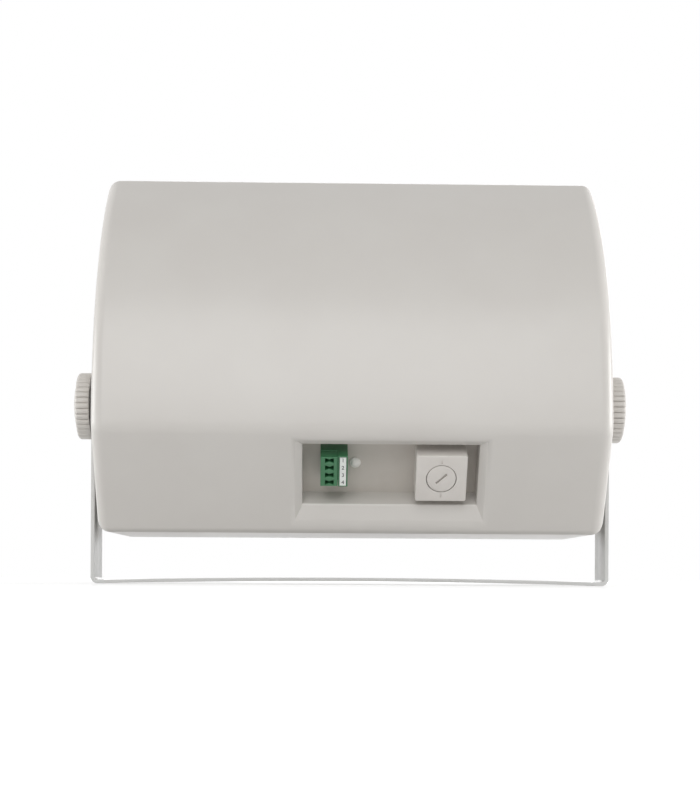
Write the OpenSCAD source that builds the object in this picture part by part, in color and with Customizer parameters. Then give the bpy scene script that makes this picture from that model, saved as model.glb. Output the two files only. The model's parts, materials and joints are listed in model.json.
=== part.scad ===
// Wall speaker on a U-bracket: a bowed plastic cabinet with a terminal recess in its undercut rear panel.
// X runs along the cabinet, -Y is its rear and +Y its grille, +Z is up.
// The origin is on the underside of the bracket's strap, at its middle, between the two wall bolts.

/* [Cabinet] */
// Length of the cabinet between its flat ends
cab_len = 320; // [310:1:340]
// Height of the flat bottom above the origin
bottom_z = 30.3; // [24:0.5:34]
// Height of the flat top above the origin
top_z = 263; // [255:1:272]
// Distance of the rear ridge behind the pivot axis
ridge_back = 77.8; // [72:0.5:84]
// Height of the rear ridge above the origin
ridge_z = 92.4; // [88:0.5:96]
// Radius of the bowed upper rear
back_r = 213.8; // [205:1:240]
// Tilt of the undercut lower panel from the vertical
panel_tilt = 31.7; // [28:0.5:34]
// Distance of the front rim before the pivot axis
mouth_y = 86; // [82:0.5:92]
// Rounding of the two ends
end_round = 8; // [5:0.5:9]
// Rounding of the long edges
edge_round = 6; // [4:0.5:8]
// Thickness of the moulded walls
wall = 3.5; // [2.8:0.1:4]

/* [Terminal recess] */
// Left side of the recess opening
recess_x0 = -30.8; // [-36:0.5:-26]
// Right side of the recess opening
recess_x1 = 78.4; // [76:0.5:84]
// Distance of the opening's upper edge below the ridge, along the panel
recess_s0 = 12.7; // [12:0.1:14]
// Distance of the opening's lower edge below the ridge, along the panel
recess_s1 = 54.6; // [53:0.1:56]
// Depth of the recess, square to the panel
recess_depth = 21; // [19:0.5:24]
// Width of the bevel at the sides and the top
bevel_w = 5.5; // [4:0.5:7]
// Width of the bevel at the bottom
bevel_low = 11.6; // [8:0.1:12]
// Depth of the bevel
bevel_depth = 5; // [3:0.5:6]
// Thickness of the recess walls
tub_wall = 2.4; // [2:0.1:2.8]
// Thickness of the terminal plate that closes the recess
plate_t = 2.5; // [2:0.1:4]

/* [Terminals] */
// Pitch of the terminal poles
pole_pitch = 5.08; // [5:0.01:5.2]
// Number of poles
poles = 4; // [4]
// Centre of the terminal block along the cabinet
term_x = -11.2; // [-13:0.1:-9]
// Centre of the terminal block below the ridge, along the panel
term_s = 31.3; // [30:0.1:33]
// Width of the plug over its wire openings
plug_w = 10.7; // [10:0.1:11.5]
// Width of the socket's side wall with the marking strip
strip_w = 6.2; // [5.5:0.1:7]
// Height of the terminal block above the plate
term_h = 17; // [15:0.5:17.5]
// Height of the socket's base under the plug
socket_h = 8.4; // [7:0.1:10]
// Width of a wire opening
wire_hole = 3.4; // [3:0.1:3.8]

/* [Tap selector] */
// Side of the square selector housing
sel_side = 31.6; // [30:0.1:33]
// Centre of the selector along the cabinet
sel_x = 55.3; // [53:0.1:57]
// Centre of the selector below the ridge, along the panel
sel_s = 34.2; // [33:0.1:35]
// Height of the selector housing above the plate
sel_h = 20; // [17:0.5:20.5]
// Diameter of the dial
dial_d = 18; // [16:0.1:19]
// Length of the screwdriver slot in the dial
slot_len = 9; // [7:0.1:11]
// Width of the screwdriver slot
slot_w = 1.6; // [1.2:0.1:2]
// Side of the rotary switch behind the plate
switch_side = 26; // [22:0.5:28]

/* [Bracket] */
// Thickness of the bracket's steel
strap_t = 2.3; // [2:0.1:3]
// Width of the bracket's steel
strap_w = 38; // [34:0.5:42]
// Height of the pivot axis above the origin
pivot_z = 113.3; // [108:0.5:118]
// Rise of the strap's bow between its ends
bow = 2.2; // [1:0.1:3]
// Inner radius of the two bends
bend_r = 2; // [1.5:0.1:4]
// Diameter of the two wall bolt holes
bolt_d = 6.5; // [5:0.1:8.5]
// Distance between the two wall bolt holes
bolt_gap = 100; // [80:5:120]
// Diameter of the hole at the strap's middle
centre_d = 10.5; // [9:0.1:12]

/* [Knobs] */
// Diameter over the knob's flutes
knob_d = 43; // [40:0.5:46]
// Height of a knob over its dome
knob_h = 12.2; // [11:0.1:14]
// Number of flutes
flutes = 36; // [30:1:40]
// Diameter of the knob studs
stud_d = 8; // [7:0.1:8.4]
// Running clearance of a stud round its side
stud_clear = 0.05; // [0.03:0.01:0.09]
// Thickness of the friction washer between cabinet and bracket
friction_t = 4.4; // [3.5:0.1:5.5]
// Thickness of the steel washer under a knob
washer_t = 1.2; // [1:0.1:1.6]
// Diameter of the steel washer
washer_d = 24; // [20:0.5:28]
// Length of thread that a stud has in its insert
grip = 14; // [12:0.5:16]

/* [Front] */
// Depth of the baffle's front face behind the front rim
baffle_in = 14; // [13:0.5:16]
// Thickness of the baffle
baffle_t = 6; // [5:0.5:8]
// Clearance of the baffle in the shell
baffle_gap = 0.3; // [0.2:0.1:0.5]
// Thickness of the grille's steel
grille_t = 1; // [0.8:0.1:1.4]
// Distance of the grille's face behind the front rim
grille_in = 1.5; // [1:0.1:2.5]
// Diameter of the grille's holes
perf_d = 8; // [6:0.5:9]
// Pitch of the grille's holes
perf_pitch = 12.5; // [12:0.5:15]

/* [Woofer] */
// Distance of the woofer's flange from the cabinet's end wall at -X
woofer_side = 12; // [9:0.5:14]
// Height of the woofer's centre
woofer_z = 146; // [142:1:150]
// Outer diameter of the basket's flange
basket_d = 165; // [155:1:168]
// Diameter of the cone
cone_d = 126; // [118:1:128]
// Depth of the basket behind the baffle's face
basket_depth = 44; // [40:1:46]
// Diameter of the voice coil former
coil_d = 25.6; // [25:0.1:27]
// Outer diameter of the magnet
magnet_d = 90; // [80:1:95]
// Thickness of the magnet
magnet_t = 15; // [12:1:16]

/* [Tweeter] */
// Centre of the tweeter along the cabinet
tweeter_x = 88; // [84:1:94]
// Distance of the tweeter's centre below the flat top
tweeter_drop = 67; // [63:1:73]
// Diameter of the tweeter's face plate
face_d = 94; // [88:1:100]
// Diameter of the tweeter's dome
dome_d = 25; // [22:0.5:28]

/* [Hidden] */
$fn = 48;
half = cab_len / 2;
back_c = [back_r - ridge_back, ridge_z];
tip = 0.1;
leg_in = half + friction_t;
leg_out = leg_in + strap_t;
knob_in = leg_out + washer_t;
leg_r = strap_w / 2;
strap_half = leg_in - bend_r;
bow_r = (strap_half * strap_half + bow * bow) / (2 * bow);
plug_x = term_x - (plug_w + strip_w) / 2;
strip_x = plug_x + plug_w;
term_len = poles * pole_pitch;
insert_r = 6.5;
boss_r = 11;
boss_len = grip + 4;
baffle_y = mouth_y - baffle_in;
ledge_y = baffle_y - baffle_t;
gasket_t = 1.5;
plate_screw_r = 1.2;
screw_boss_r = 6;
screw_x = half - wall - 4.5;
screw_low = bottom_z + wall + 4.5;
screw_high = top_z - wall - 4.5;
pilot_r = 1.6;
grille_y = mouth_y - grille_in;
skirt = grille_y - baffle_y;
perf_cols = floor((cab_len - 2 * wall - 24) / perf_pitch);
perf_rows = floor((top_z - bottom_z - 2 * wall - 24) / (perf_pitch * 0.866));
cone_r = cone_d / 2;
coil_r = coil_d / 2;
plate_r = magnet_d / 2 - 3;
pole_t = 6;
seat_y = baffle_y - basket_depth;
mid_z = (top_z + bottom_z) / 2;
basket_t = 1.6;
spider_seat = 8;
rim_y = basket_depth - 3 + basket_t;
cone_h = 26;
cone_t = 0.8;
neck_r = coil_r + 0.3;
cap_r = 19;
woofer_x = basket_d / 2 + woofer_side + wall - half;
woofer_screw_r = basket_d / 2 - 3.8;
surround_r = woofer_screw_r - 2.8;
roll_in = cone_r + 0.4;
roll_out = surround_r + 0.5;
tweeter_z = top_z - tweeter_drop;
tweeter_hole = 38;
core_w = 57;
core_h = 48;
core_t = 24;
core_x = 95;
core_y = 12;
floor_z = bottom_z + wall;
board_w = 90;
board_d = 58;
board_t = 1.6;
board_x = -100;
board_y = 20;
board_z = floor_z + 6;
board_screw_r = 1.3;
foot_x = core_w / 2 + 7.5;
foot_t = 1.2;
foot_screw_r = 1.7;
wadding_t = 12;
wadding_r = back_r - wall - 0.3;
wadding_top = top_z - wall - 16;

// Point at angle a on a circle of radius r round c
function on_circle(c, r, a) = [c[0] + r * cos(a), c[1] + r * sin(a)];

// Points along an arc round c, from angle a to angle b
function arc(c, r, a, b, n) = [for (i = [0 : n]) on_circle(c, r, a + (b - a) * i / n)];

// Cabinet's outline in the YZ plane up to a front edge at y, taken in by inset, its edges rounded by r
module side_outline(y, inset, r) {
    d = inset + r;
    drop = ridge_z + d * sin(panel_tilt) - bottom_z - d;
    low = [-ridge_back + d * cos(panel_tilt) + drop * tan(panel_tilt), bottom_z + d];
    ridge = [-ridge_back + d, ridge_z + d * tan(panel_tilt / 2)];
    top_a = 180 - asin((top_z - d - ridge_z) / (back_r - d));
    polygon(concat([[y, bottom_z + inset]],
        arc(low, r, 270, 180 + panel_tilt, 4),
        arc(ridge, r, 180 + panel_tilt, 180, 3),
        arc(back_c, back_r - inset, 178, top_a + 1, 16),
        arc(on_circle(back_c, back_r - d, top_a), r, top_a, 90, 4),
        [[y, top_z - inset]]));
}

// A closed body on the cabinet's outline: a straight middle, and end slices that shrink along a quarter round
module rounded_body(y, inset, half_len, end_r, edge_r) {
    hull() {
        rotate([90, 0, 90])
            linear_extrude(2 * (half_len - end_r), center = true) side_outline(y, inset, edge_r);
        for (side = [-1, 1], a = [22.5 : 22.5 : 90])
            translate([side * (half_len - end_r + (end_r - tip / 2) * sin(a)), 0, 0])
                rotate([90, 0, 90])
                    linear_extrude(tip, center = true)
                        side_outline(y, inset + end_r * (1 - cos(a)),
                            max(edge_r - end_r * (1 - cos(a)), 0.8));
    }
}

// Places its children on the lower panel: x along the cabinet, -y down the panel from the ridge, z outwards
module on_panel(x, s, out) {
    translate([0, -ridge_back, ridge_z]) rotate([90 + panel_tilt, 0, 0]) translate([x, -s, out]) children();
}

// A box on the panel between two places along it, from one depth to another
module panel_box(x0, x1, s0, s1, z0, z1) {
    on_panel(x0, s1, z0) cube([x1 - x0, s1 - s0, z1 - z0]);
}

// Turns a shape drawn upwards so that it points along X, to the given side
module along_x(side) {
    rotate([0, side * 90, 0]) children();
}

// Turns a shape drawn upwards so that it points to the front
module to_front() {
    rotate([-90, 0, 0]) children();
}

// Rectangle with round corners, standing on its centre
module round_rect(w, h, r) {
    square([w - 2 * r, h], center = true);
    square([w, h - 2 * r], center = true);
    for (x = [-1, 1], y = [-1, 1])
        translate([x * (w / 2 - r), y * (h / 2 - r)]) circle(r);
}

// Ring drawn as a turned section
module ring(r_in, r_out, h) {
    difference() {
        cylinder(r = r_out, h = h);
        translate([0, 0, -1]) cylinder(r = r_in, h = h + 2);
    }
}

// Centre line of the strap and legs in the XZ plane at a distance d outside their inner face
function strap_line(d) = concat(
    [[-leg_in - d, pivot_z], [-leg_in - d, -bow + strap_t + bend_r]],
    [for (a = [198 : 18 : 252]) on_circle([-strap_half, -bow + strap_t + bend_r], bend_r + d, a)],
    [for (i = [-12 : 12])
        let (x = i / 12 * strap_half) [x, strap_t - d + sqrt(bow_r * bow_r - x * x) - bow_r]],
    [for (a = [288 : 18 : 342]) on_circle([strap_half, -bow + strap_t + bend_r], bend_r + d, a)],
    [[leg_in + d, -bow + strap_t + bend_r], [leg_in + d, pivot_z]]);

function flipped(list) = [for (i = [len(list) - 1 : -1 : 0]) list[i]];

module bracket() {
    color("lightgrey")
        difference() {
            union() {
                translate([0, strap_w / 2, 0])
                    rotate([90, 0, 0])
                        linear_extrude(strap_w)
                            polygon(concat(strap_line(0), flipped(strap_line(strap_t))));
                for (side = [-1, 1])
                    translate([side * leg_in, 0, pivot_z]) along_x(side) cylinder(r = leg_r, h = strap_t);
            }
            translate([-leg_out - 1, 0, pivot_z])
                along_x(1) cylinder(r = stud_d / 2 + 0.3, h = 2 * leg_out + 2);
            for (x = [-bolt_gap / 2, bolt_gap / 2])
                translate([x, 0, -bow - 1]) cylinder(r = bolt_d / 2, h = strap_t + bow + 2);
            translate([0, 0, -bow - 1]) cylinder(r = centre_d / 2, h = strap_t + bow + 2);
        }
}

// Half section of a knob: a dished back, a straight fluted rim and a domed face
module knob_section() {
    r = knob_d / 2;
    dome = 3.2;
    shoulder = knob_h - dome;
    dome_r = ((r - 2) * (r - 2) + dome * dome) / (2 * dome);
    polygon(concat([[0, 0], [washer_d / 2 - 1, 0], [washer_d / 2 + 1, 1.2], [r - 2.4, 1.2], [r - 0.8, 0.5],
        [r, 1.3], [r, shoulder - 1.6]],
        [for (a = [0 : 15 : 75]) on_circle([r - 2, shoulder - 1.6], 2, a)],
        [for (i = [8 : -1 : 0])
            let (x = (r - 3) * i / 8) [x, knob_h - dome_r + sqrt(dome_r * dome_r - x * x)]]));
}

// A clamping knob on its side of the bracket
module knob(side) {
    color("gainsboro")
        translate([side * knob_in, 0, pivot_z])
            along_x(side)
                difference() {
                    rotate_extrude() knob_section();
                    for (i = [0 : flutes - 1])
                        rotate([0, 0, (i + 0.5) * 360 / flutes])
                            translate([knob_d / 2 + 0.55, 0, -1])
                                cylinder(r = 1.35, h = knob_h + 2, $fn = 16);
                    translate([0, 0, -1]) cylinder(r = stud_d / 2, h = knob_h - 3);
                }
}

// The stud moulded into a knob, with its thread in the cabinet's insert
module stud(side) {
    color("silver")
        translate([side * (half - grip), 0, pivot_z])
            along_x(side) {
                cylinder(r1 = stud_d / 2 - 1, r2 = stud_d / 2, h = 1);
                translate([0, 0, 1]) cylinder(r = stud_d / 2, h = knob_in - half + grip + knob_h - 5);
            }
}

module washer(side) {
    color("silver")
        translate([side * leg_out, 0, pivot_z])
            along_x(side) ring(stud_d / 2 + stud_clear, washer_d / 2, washer_t);
}

// Rubber ring between the leg and the cabinet
module friction_washer(side) {
    color("dimgrey")
        translate([side * half, 0, pivot_z]) along_x(side) ring(stud_d / 2 + 0.5, 15, friction_t);
}

// Threaded insert in the end boss, knurled outside
module insert(side) {
    color("goldenrod")
        translate([side * (half - grip), 0, pivot_z])
            along_x(side)
                difference() {
                    cylinder(r = insert_r, h = grip);
                    translate([0, 0, -1]) cylinder(r = stud_d / 2 + stud_clear, h = grip + 2);
                    for (z = [grip * 0.3, grip * 0.65])
                        translate([0, 0, z]) ring(insert_r - 0.6, insert_r + 1, 1.6);
                }
}

// Places of the eight baffle screws, round the rim
module at_baffle_screws() {
    for (x = [-screw_x, 0, screw_x], z = [screw_low, screw_high]) translate([x, 0, z]) children();
    for (x = [-screw_x, screw_x]) translate([x, 0, mid_z]) children();
}

// Slab across the bevelled mouth at a height z over the panel, wider than the recess by a thin ledge
module bevel_slab(z) {
    k = 1 + z / bevel_depth;
    side = tip + bevel_w * k;
    panel_box(recess_x0 - side, recess_x1 + side, recess_s0 - side, recess_s1 + tip + bevel_low * k,
        z, z + tip);
}

// Cut of the recess: a straight-walled box under a bevelled mouth
module recess_cut() {
    panel_box(recess_x0, recess_x1, recess_s0, recess_s1, -recess_depth - plate_t - 20, 1);
    hull() {
        bevel_slab(-bevel_depth);
        bevel_slab(1);
    }
}

// Walls of the recess inside the cabinet, with a flange that backs the bevel
module recess_tub() {
    w = tub_wall;
    panel_box(recess_x0 - w, recess_x1 + w, recess_s0 - w, recess_s1 + w, -recess_depth, -1);
    panel_box(recess_x0 - bevel_w - w, recess_x1 + bevel_w + w, recess_s0 - bevel_w - w,
        recess_s1 + bevel_low + w, -bevel_depth - w, -1);
    for (x = [recess_x0 + 3, recess_x1 - 3], s = [recess_s0 - w - 3, recess_s1 + w + 3])
        on_panel(x, s, -recess_depth) cylinder(r = 3.6, h = recess_depth - 3);
}

module at_plate_screws() {
    for (x = [recess_x0 + 3, recess_x1 - 3], s = [recess_s0 - tub_wall - 3, recess_s1 + tub_wall + 3])
        on_panel(x, s, -recess_depth - plate_t) children();
}

// Ledge round the inside of the mouth, for the gasket and the baffle
module baffle_ledge() {
    translate([0, ledge_y - gasket_t, 0])
        rotate([90, 0, 0])
            linear_extrude(3)
                difference() {
                    mouth_outline(wall - 0.5);
                    mouth_outline(wall + 8);
                }
}

module rear_shell() {
    color("silver")
        difference() {
            union() {
                difference() {
                    rounded_body(mouth_y, 0, half, end_round, edge_round);
                    rounded_body(mouth_y + 10, wall, half - wall, end_round - wall + 0.5, 3);
                }
                recess_tub();
                baffle_ledge();
                for (side = [-1, 1]) {
                    translate([side * (half - boss_len), 0, pivot_z])
                        along_x(side) cylinder(r = boss_r, h = boss_len - 1);
                    translate([side * (half - boss_len / 2 - 1), 0, pivot_z])
                        cube([boss_len - 2, 3, 56], center = true);
                }
                at_baffle_screws()
                    translate([0, ledge_y - gasket_t - 26, 0]) to_front() cylinder(r = screw_boss_r, h = 26);
                at_board_posts()
                    translate([0, 0, floor_z - board_z - 1]) cylinder(r = 3.2, h = board_z - floor_z + 1);
            }
            recess_cut();
            for (side = [-1, 1])
                translate([side * (half - grip), 0, pivot_z])
                    along_x(side) cylinder(r = insert_r, h = grip + 1);
            at_baffle_screws()
                translate([0, ledge_y - gasket_t - 18, 0]) to_front() cylinder(r = pilot_r, h = 20);
            at_plate_screws() cylinder(r = plate_screw_r, h = 12);
            at_feet() translate([0, 0, -2.4]) cylinder(r = foot_screw_r, h = 4);
            at_board_posts() translate([0, 0, -5]) cylinder(r = board_screw_r, h = 6);
        }
}

// Floor of the recess, screwed on from inside, with openings for the terminal and the selector
module terminal_plate() {
    w = tub_wall + 6;
    color("lightgrey")
        difference() {
            panel_box(recess_x0 - tub_wall, recess_x1 + tub_wall, recess_s0 - w, recess_s1 + w,
                -recess_depth - plate_t, -recess_depth);
            on_panel(sel_x, sel_s, -recess_depth - plate_t - 1) cylinder(r = 4, h = plate_t + 2);
            for (i = [0 : poles - 1])
                on_panel(plug_x + plug_w / 2, term_s + (i - (poles - 1) / 2) * pole_pitch,
                    -recess_depth - plate_t - 1) cylinder(r = 0.9, h = plate_t + 2);
            at_plate_screws() translate([0, 0, -1]) cylinder(r = 1.5, h = plate_t + 2);
        }
}

module plate_screws() {
    color("silver")
        at_plate_screws() {
            translate([0, 0, -1.8]) cylinder(r = 2.6, h = 1.8);
            cylinder(r = plate_screw_r, h = plate_t + 9);
        }
}

// Round-headed screw beside the terminal block
module plate_button() {
    color("whitesmoke")
        on_panel(2.2, 33.4, -recess_depth)
            rotate_extrude()
                polygon(concat([[0, 0]], [for (a = [0 : 15 : 90]) [3.5 * cos(a), 2.2 * sin(a)]]));
}

// Green base on the plate: four round pins inside a shroud, and a side wall that carries the marking strip
module terminal_socket() {
    s0 = term_s - term_len / 2 - 0.4;
    s1 = term_s + term_len / 2 + 0.4;
    deck = -recess_depth + socket_h;
    color("seagreen") {
        difference() {
            union() {
                panel_box(plug_x, strip_x + strip_w, s0, s1, -recess_depth, deck);
                panel_box(strip_x + 0.3, strip_x + strip_w, s0, s1, -recess_depth,
                    -recess_depth + term_h - 0.4);
            }
            panel_box(plug_x + 1, strip_x - 1.2, s0 + 1, s1 - 1, deck - 6, deck + 1);
            panel_box(strip_x + 1.3, strip_x + strip_w - 1, s0 + 0.9, s1 - 0.9, -recess_depth + term_h - 1.2,
                -recess_depth + term_h);
        }
        for (i = [0 : poles - 1])
            on_panel(plug_x + plug_w / 2, term_s + (i - (poles - 1) / 2) * pole_pitch, deck - 6.5)
                cylinder(r = 0.6, h = 5.5);
    }
}

module at_poles() {
    for (i = [0 : poles - 1])
        on_panel(plug_x, term_s + (i - (poles - 1) / 2) * pole_pitch, -recess_depth) children();
}

// Plug-in half of the terminal, with a square wire opening for each pole
module terminal_plug() {
    s0 = term_s - term_len / 2;
    s1 = term_s + term_len / 2;
    deck = -recess_depth + socket_h;
    color("mediumseagreen")
        difference() {
            union() {
                panel_box(plug_x, strip_x, s0, s1, deck, -recess_depth + term_h);
                panel_box(plug_x + 1.3, strip_x - 1.5, s0 + 1, s1 - 1, deck - 5, deck + 1);
            }
            at_poles() {
                translate([2.6, -wire_hole / 2, term_h - 6.4]) cube([wire_hole + 1.6, wire_hole, 8]);
                translate([-1, 0, term_h - 4.2]) along_x(1) cylinder(r = 1.5, h = 4.6);
                translate([plug_w / 2, 0, socket_h - 6]) cylinder(r = 0.9, h = 6);
            }
        }
}

module clamp_screws() {
    color("silver")
        at_poles()
            translate([0.6, 0, term_h - 4.2])
                along_x(1)
                    difference() {
                        cylinder(r = 1.45, h = 2);
                        translate([-0.3, -2, -1]) cube([0.6, 4, 1.7]);
                    }
}

// Pale strip along the socket's side wall, with a small bare field for each pole
module marking_strip() {
    color("white")
        difference() {
            panel_box(strip_x + 1.4, strip_x + strip_w - 1.1, term_s - term_len / 2 + 0.6,
                term_s + term_len / 2 - 0.6, -recess_depth + term_h - 1.2, -recess_depth + term_h);
            for (i = [1 : poles - 1])
                on_panel(strip_x, term_s - term_len / 2 + i * pole_pitch - 0.15, -recess_depth + term_h - 0.3)
                    cube([strip_w, 0.3, 1]);
        }
}

// Square housing round the dial, open to the plate underneath
module selector_housing() {
    h = sel_h;
    w = 2;
    color("gainsboro")
        difference() {
            on_panel(sel_x, sel_s, -recess_depth) linear_extrude(h) round_rect(sel_side, sel_side, 1.2);
            on_panel(sel_x, sel_s, -recess_depth - 1)
                linear_extrude(h - w + 1) round_rect(sel_side - 2 * w, sel_side - 2 * w, 1);
            on_panel(sel_x, sel_s, -recess_depth) cylinder(r = dial_d / 2 + 0.6, h = h + 1);
        }
}

// Slotted dial on the switch shaft
module selector_dial() {
    color("gainsboro")
        on_panel(sel_x, sel_s, -recess_depth)
            difference() {
                union() {
                    translate([0, 0, sel_h - 3.4]) cylinder(r = dial_d / 2, h = 3.2);
                    translate([0, 0, sel_h - 12]) cylinder(r = 5, h = 9);
                    translate([0, 0, -plate_t - 3]) cylinder(r = 3, h = sel_h + plate_t - 8);
                }
                rotate([0, 0, 45])
                    translate([-slot_len / 2, -slot_w / 2, sel_h - 2.2]) cube([slot_len, slot_w, 4]);
            }
}

// Rotary switch behind the plate, with its solder tags
module tap_switch() {
    h = 14;
    color("dimgrey")
        on_panel(sel_x, sel_s, -recess_depth - plate_t - h) {
            difference() {
                linear_extrude(h) round_rect(switch_side, switch_side, 4);
                translate([0, 0, h - 3.5]) cylinder(r = 3.05, h = 5);
            }
            for (a = [0 : 60 : 300])
                rotate([0, 0, a]) translate([9, -1.2, -4]) cube([0.8, 2.4, 4.5]);
        }
}

// Outline of the shell's mouth, taken in by a distance
module mouth_outline(inset) {
    translate([0, mid_z])
        round_rect(cab_len - 2 * inset, top_z - bottom_z - 2 * inset, max(end_round - inset, 0.8) + 1);
}

// Foam ring between the baffle and the bosses
module gasket() {
    color("black")
        translate([0, ledge_y, 0])
            rotate([90, 0, 0])
                linear_extrude(gasket_t)
                    difference() {
                        mouth_outline(wall + 0.5);
                        mouth_outline(wall + 11);
                        for (x = [-screw_x, 0, screw_x], z = [screw_low, mid_z, screw_high])
                            translate([x, z]) circle(2.2);
                    }
}

module front_baffle() {
    color("dimgrey")
        difference() {
            translate([0, baffle_y, 0])
                rotate([90, 0, 0]) linear_extrude(baffle_t) mouth_outline(wall + baffle_gap);
            translate([woofer_x, ledge_y - 1, woofer_z])
                to_front() cylinder(r = basket_d / 2 - 9, h = baffle_t + 2);
            translate([woofer_x, baffle_y - 3, woofer_z]) to_front() cylinder(r = basket_d / 2 + 0.4, h = 4);
            translate([tweeter_x, ledge_y - 1, tweeter_z])
                to_front() cylinder(r = tweeter_hole, h = baffle_t + 2);
            translate([tweeter_x, baffle_y - 3, tweeter_z]) to_front() cylinder(r = face_d / 2 + 0.4, h = 4);
            at_baffle_screws() translate([0, ledge_y - 1, 0]) to_front() cylinder(r = 2.1, h = baffle_t + 2);
            at_baffle_screws() translate([0, baffle_y - 2.4, 0]) to_front() cylinder(r = 4.2, h = 3);
            at_woofer_screws() translate([0, -1, 0]) to_front() cylinder(r = pilot_r, h = baffle_t + 2);
            at_tweeter_screws() translate([0, -1, 0]) to_front() cylinder(r = 1.3, h = baffle_t + 2);
        }
}

module baffle_screws() {
    color("black")
        at_baffle_screws()
            translate([0, baffle_y - 2.4, 0])
                to_front() {
                    difference() {
                        cylinder(r = 4, h = 2.2);
                        translate([0, 0, 1]) cylinder(r = 1.6, h = 2, $fn = 6);
                    }
                    translate([0, 0, -baffle_t - 10]) cylinder(r = pilot_r, h = baffle_t + 10.5);
                }
}

// Perforated steel tray whose skirt stands on the baffle
module grille() {
    g = wall + 0.4;
    color("lightgrey")
        difference() {
            translate([0, grille_y, 0]) rotate([90, 0, 0]) linear_extrude(skirt) mouth_outline(g);
            translate([0, grille_y - grille_t, 0])
                rotate([90, 0, 0]) linear_extrude(skirt) mouth_outline(g + grille_t);
            translate([0, grille_y + 1, mid_z])
                rotate([90, 0, 0])
                    linear_extrude(grille_t + 2)
                        for (j = [0 : perf_rows - 1], i = [0 : perf_cols - 1 - j % 2])
                            translate([(i - (perf_cols - 1 - j % 2) / 2) * perf_pitch,
                                (j - (perf_rows - 1) / 2) * perf_pitch * 0.866])
                                circle(perf_d / 2, $fn = 24);
        }
}

module grille_cloth() {
    color("black")
        translate([0, grille_y - grille_t - 0.3, 0])
            rotate([90, 0, 0]) linear_extrude(0.8) mouth_outline(wall + 0.4 + grille_t + 0.4);
}

module at_woofer_screws() {
    for (a = [45 : 90 : 315])
        translate([woofer_x + woofer_screw_r * cos(a), ledge_y, woofer_z + woofer_screw_r * sin(a)])
            children();
}

// Pressed steel basket: flange, sloping wall with six windows, spider seat and magnet seat
module woofer_basket() {
    r = basket_d / 2;
    t = basket_t;
    h = spider_seat;
    color("black")
        difference() {
            translate([woofer_x, seat_y, woofer_z])
                to_front()
                    difference() {
                        rotate_extrude()
                            polygon([[coil_r + 2.4, 0], [plate_r - 2, 0], [plate_r + 6, h], [plate_r + 14, h],
                                [r - 12, rim_y - t], [r, rim_y - t], [r, rim_y], [r - 13, rim_y],
                                [plate_r + 13.2, h + t], [plate_r + 5, h + t], [plate_r - 3, t],
                                [coil_r + 2.4, t]]);
                        for (a = [0 : 60 : 300])
                            rotate([0, 0, a + 15])
                                translate([plate_r + 10, -12, h + t + 3]) cube([r, 24, rim_y - h - 10]);
                    }
            at_woofer_screws() translate([0, -1, 0]) to_front() cylinder(r = 1.8, h = baffle_t + 2);
        }
}

// Rubber half roll between the basket and the cone
module surround() {
    c = (roll_in + roll_out) / 2;
    roll = (roll_out - roll_in) / 2 - 2;
    t = 0.7;
    color("black")
        translate([woofer_x, seat_y, woofer_z])
            to_front()
                rotate_extrude()
                    polygon(concat([[roll_in, rim_y]], arc([c, rim_y], roll, 180, 0, 12),
                        [[surround_r, rim_y], [surround_r, rim_y + t], [c + roll + t, rim_y + t]],
                        arc([c, rim_y], roll + t, 15, 165, 10),
                        [[c - roll - t, rim_y + t], [roll_in, rim_y + t]]));
}

// Height of the cone's back at radius r, measured from the basket's magnet seat
function cone_y(r) =
    let (u = (r - neck_r) / (cone_r - neck_r)) rim_y - cone_h + cone_h * (0.72 * u + 0.28 * u * u);

// Thin dome over a circle of radius r, rising by rise from height y0
function dome_line(r, rise, y0, n) =
    let (ball = (r * r + rise * rise) / (2 * rise))
    [for (i = [0 : n]) let (x = r * i / n) [x, y0 + rise - ball + sqrt(ball * ball - x * x)]];

// Paper cone, curved in section
module cone() {
    n = 8;
    radii = [for (i = [0 : n]) neck_r + (cone_r - neck_r) * i / n];
    color("dimgrey")
        translate([woofer_x, seat_y, woofer_z])
            to_front()
                rotate_extrude()
                    polygon(concat([for (r = radii) [r, cone_y(r)]],
                        flipped([for (r = radii) [r, cone_y(r) + cone_t]])));
}

module dust_cap() {
    y0 = cone_y(cap_r) + cone_t;
    color("dimgrey")
        translate([woofer_x, seat_y, woofer_z])
            to_front()
                rotate_extrude()
                    polygon(concat(dome_line(cap_r, 7, y0, 6), flipped(dome_line(cap_r, 7, y0 + 0.6, 6))));
}

// Corrugated spider from the former to its seat in the basket
module spider() {
    r0 = coil_r + 0.7;
    r1 = plate_r + 12;
    y0 = spider_seat + basket_t + 1;
    n = 40;
    wave = [for (i = [0 : n]) [r0 + (r1 - r0) * i / n, y0 + (i > n - 6 ? -1 : sin(i * 36))]];
    color("darkgoldenrod")
        translate([woofer_x, seat_y, woofer_z])
            to_front()
                rotate_extrude() polygon(concat(wave, flipped([for (p = wave) p + [0, 0.5]])));
}

module coil_former() {
    color("sienna")
        translate([woofer_x, seat_y - pole_t - 6, woofer_z])
            to_front() ring(coil_r - 0.3, neck_r, pole_t + 6 + cone_y(neck_r) + cone_t);
}

module front_pole_plate() {
    color("silver")
        translate([woofer_x, seat_y - pole_t, woofer_z]) to_front() ring(coil_r + 0.9, plate_r, pole_t);
}

module magnet_ring() {
    color("dimgrey")
        translate([woofer_x, seat_y - pole_t - magnet_t, woofer_z])
            to_front() ring(coil_r + 8, magnet_d / 2, magnet_t);
}

module rear_pole_plate() {
    color("silver")
        translate([woofer_x, seat_y - 2 * pole_t - magnet_t, woofer_z])
            to_front() {
                cylinder(r = plate_r, h = pole_t);
                cylinder(r = coil_r - 0.8, h = 2 * pole_t + magnet_t);
            }
}

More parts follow.
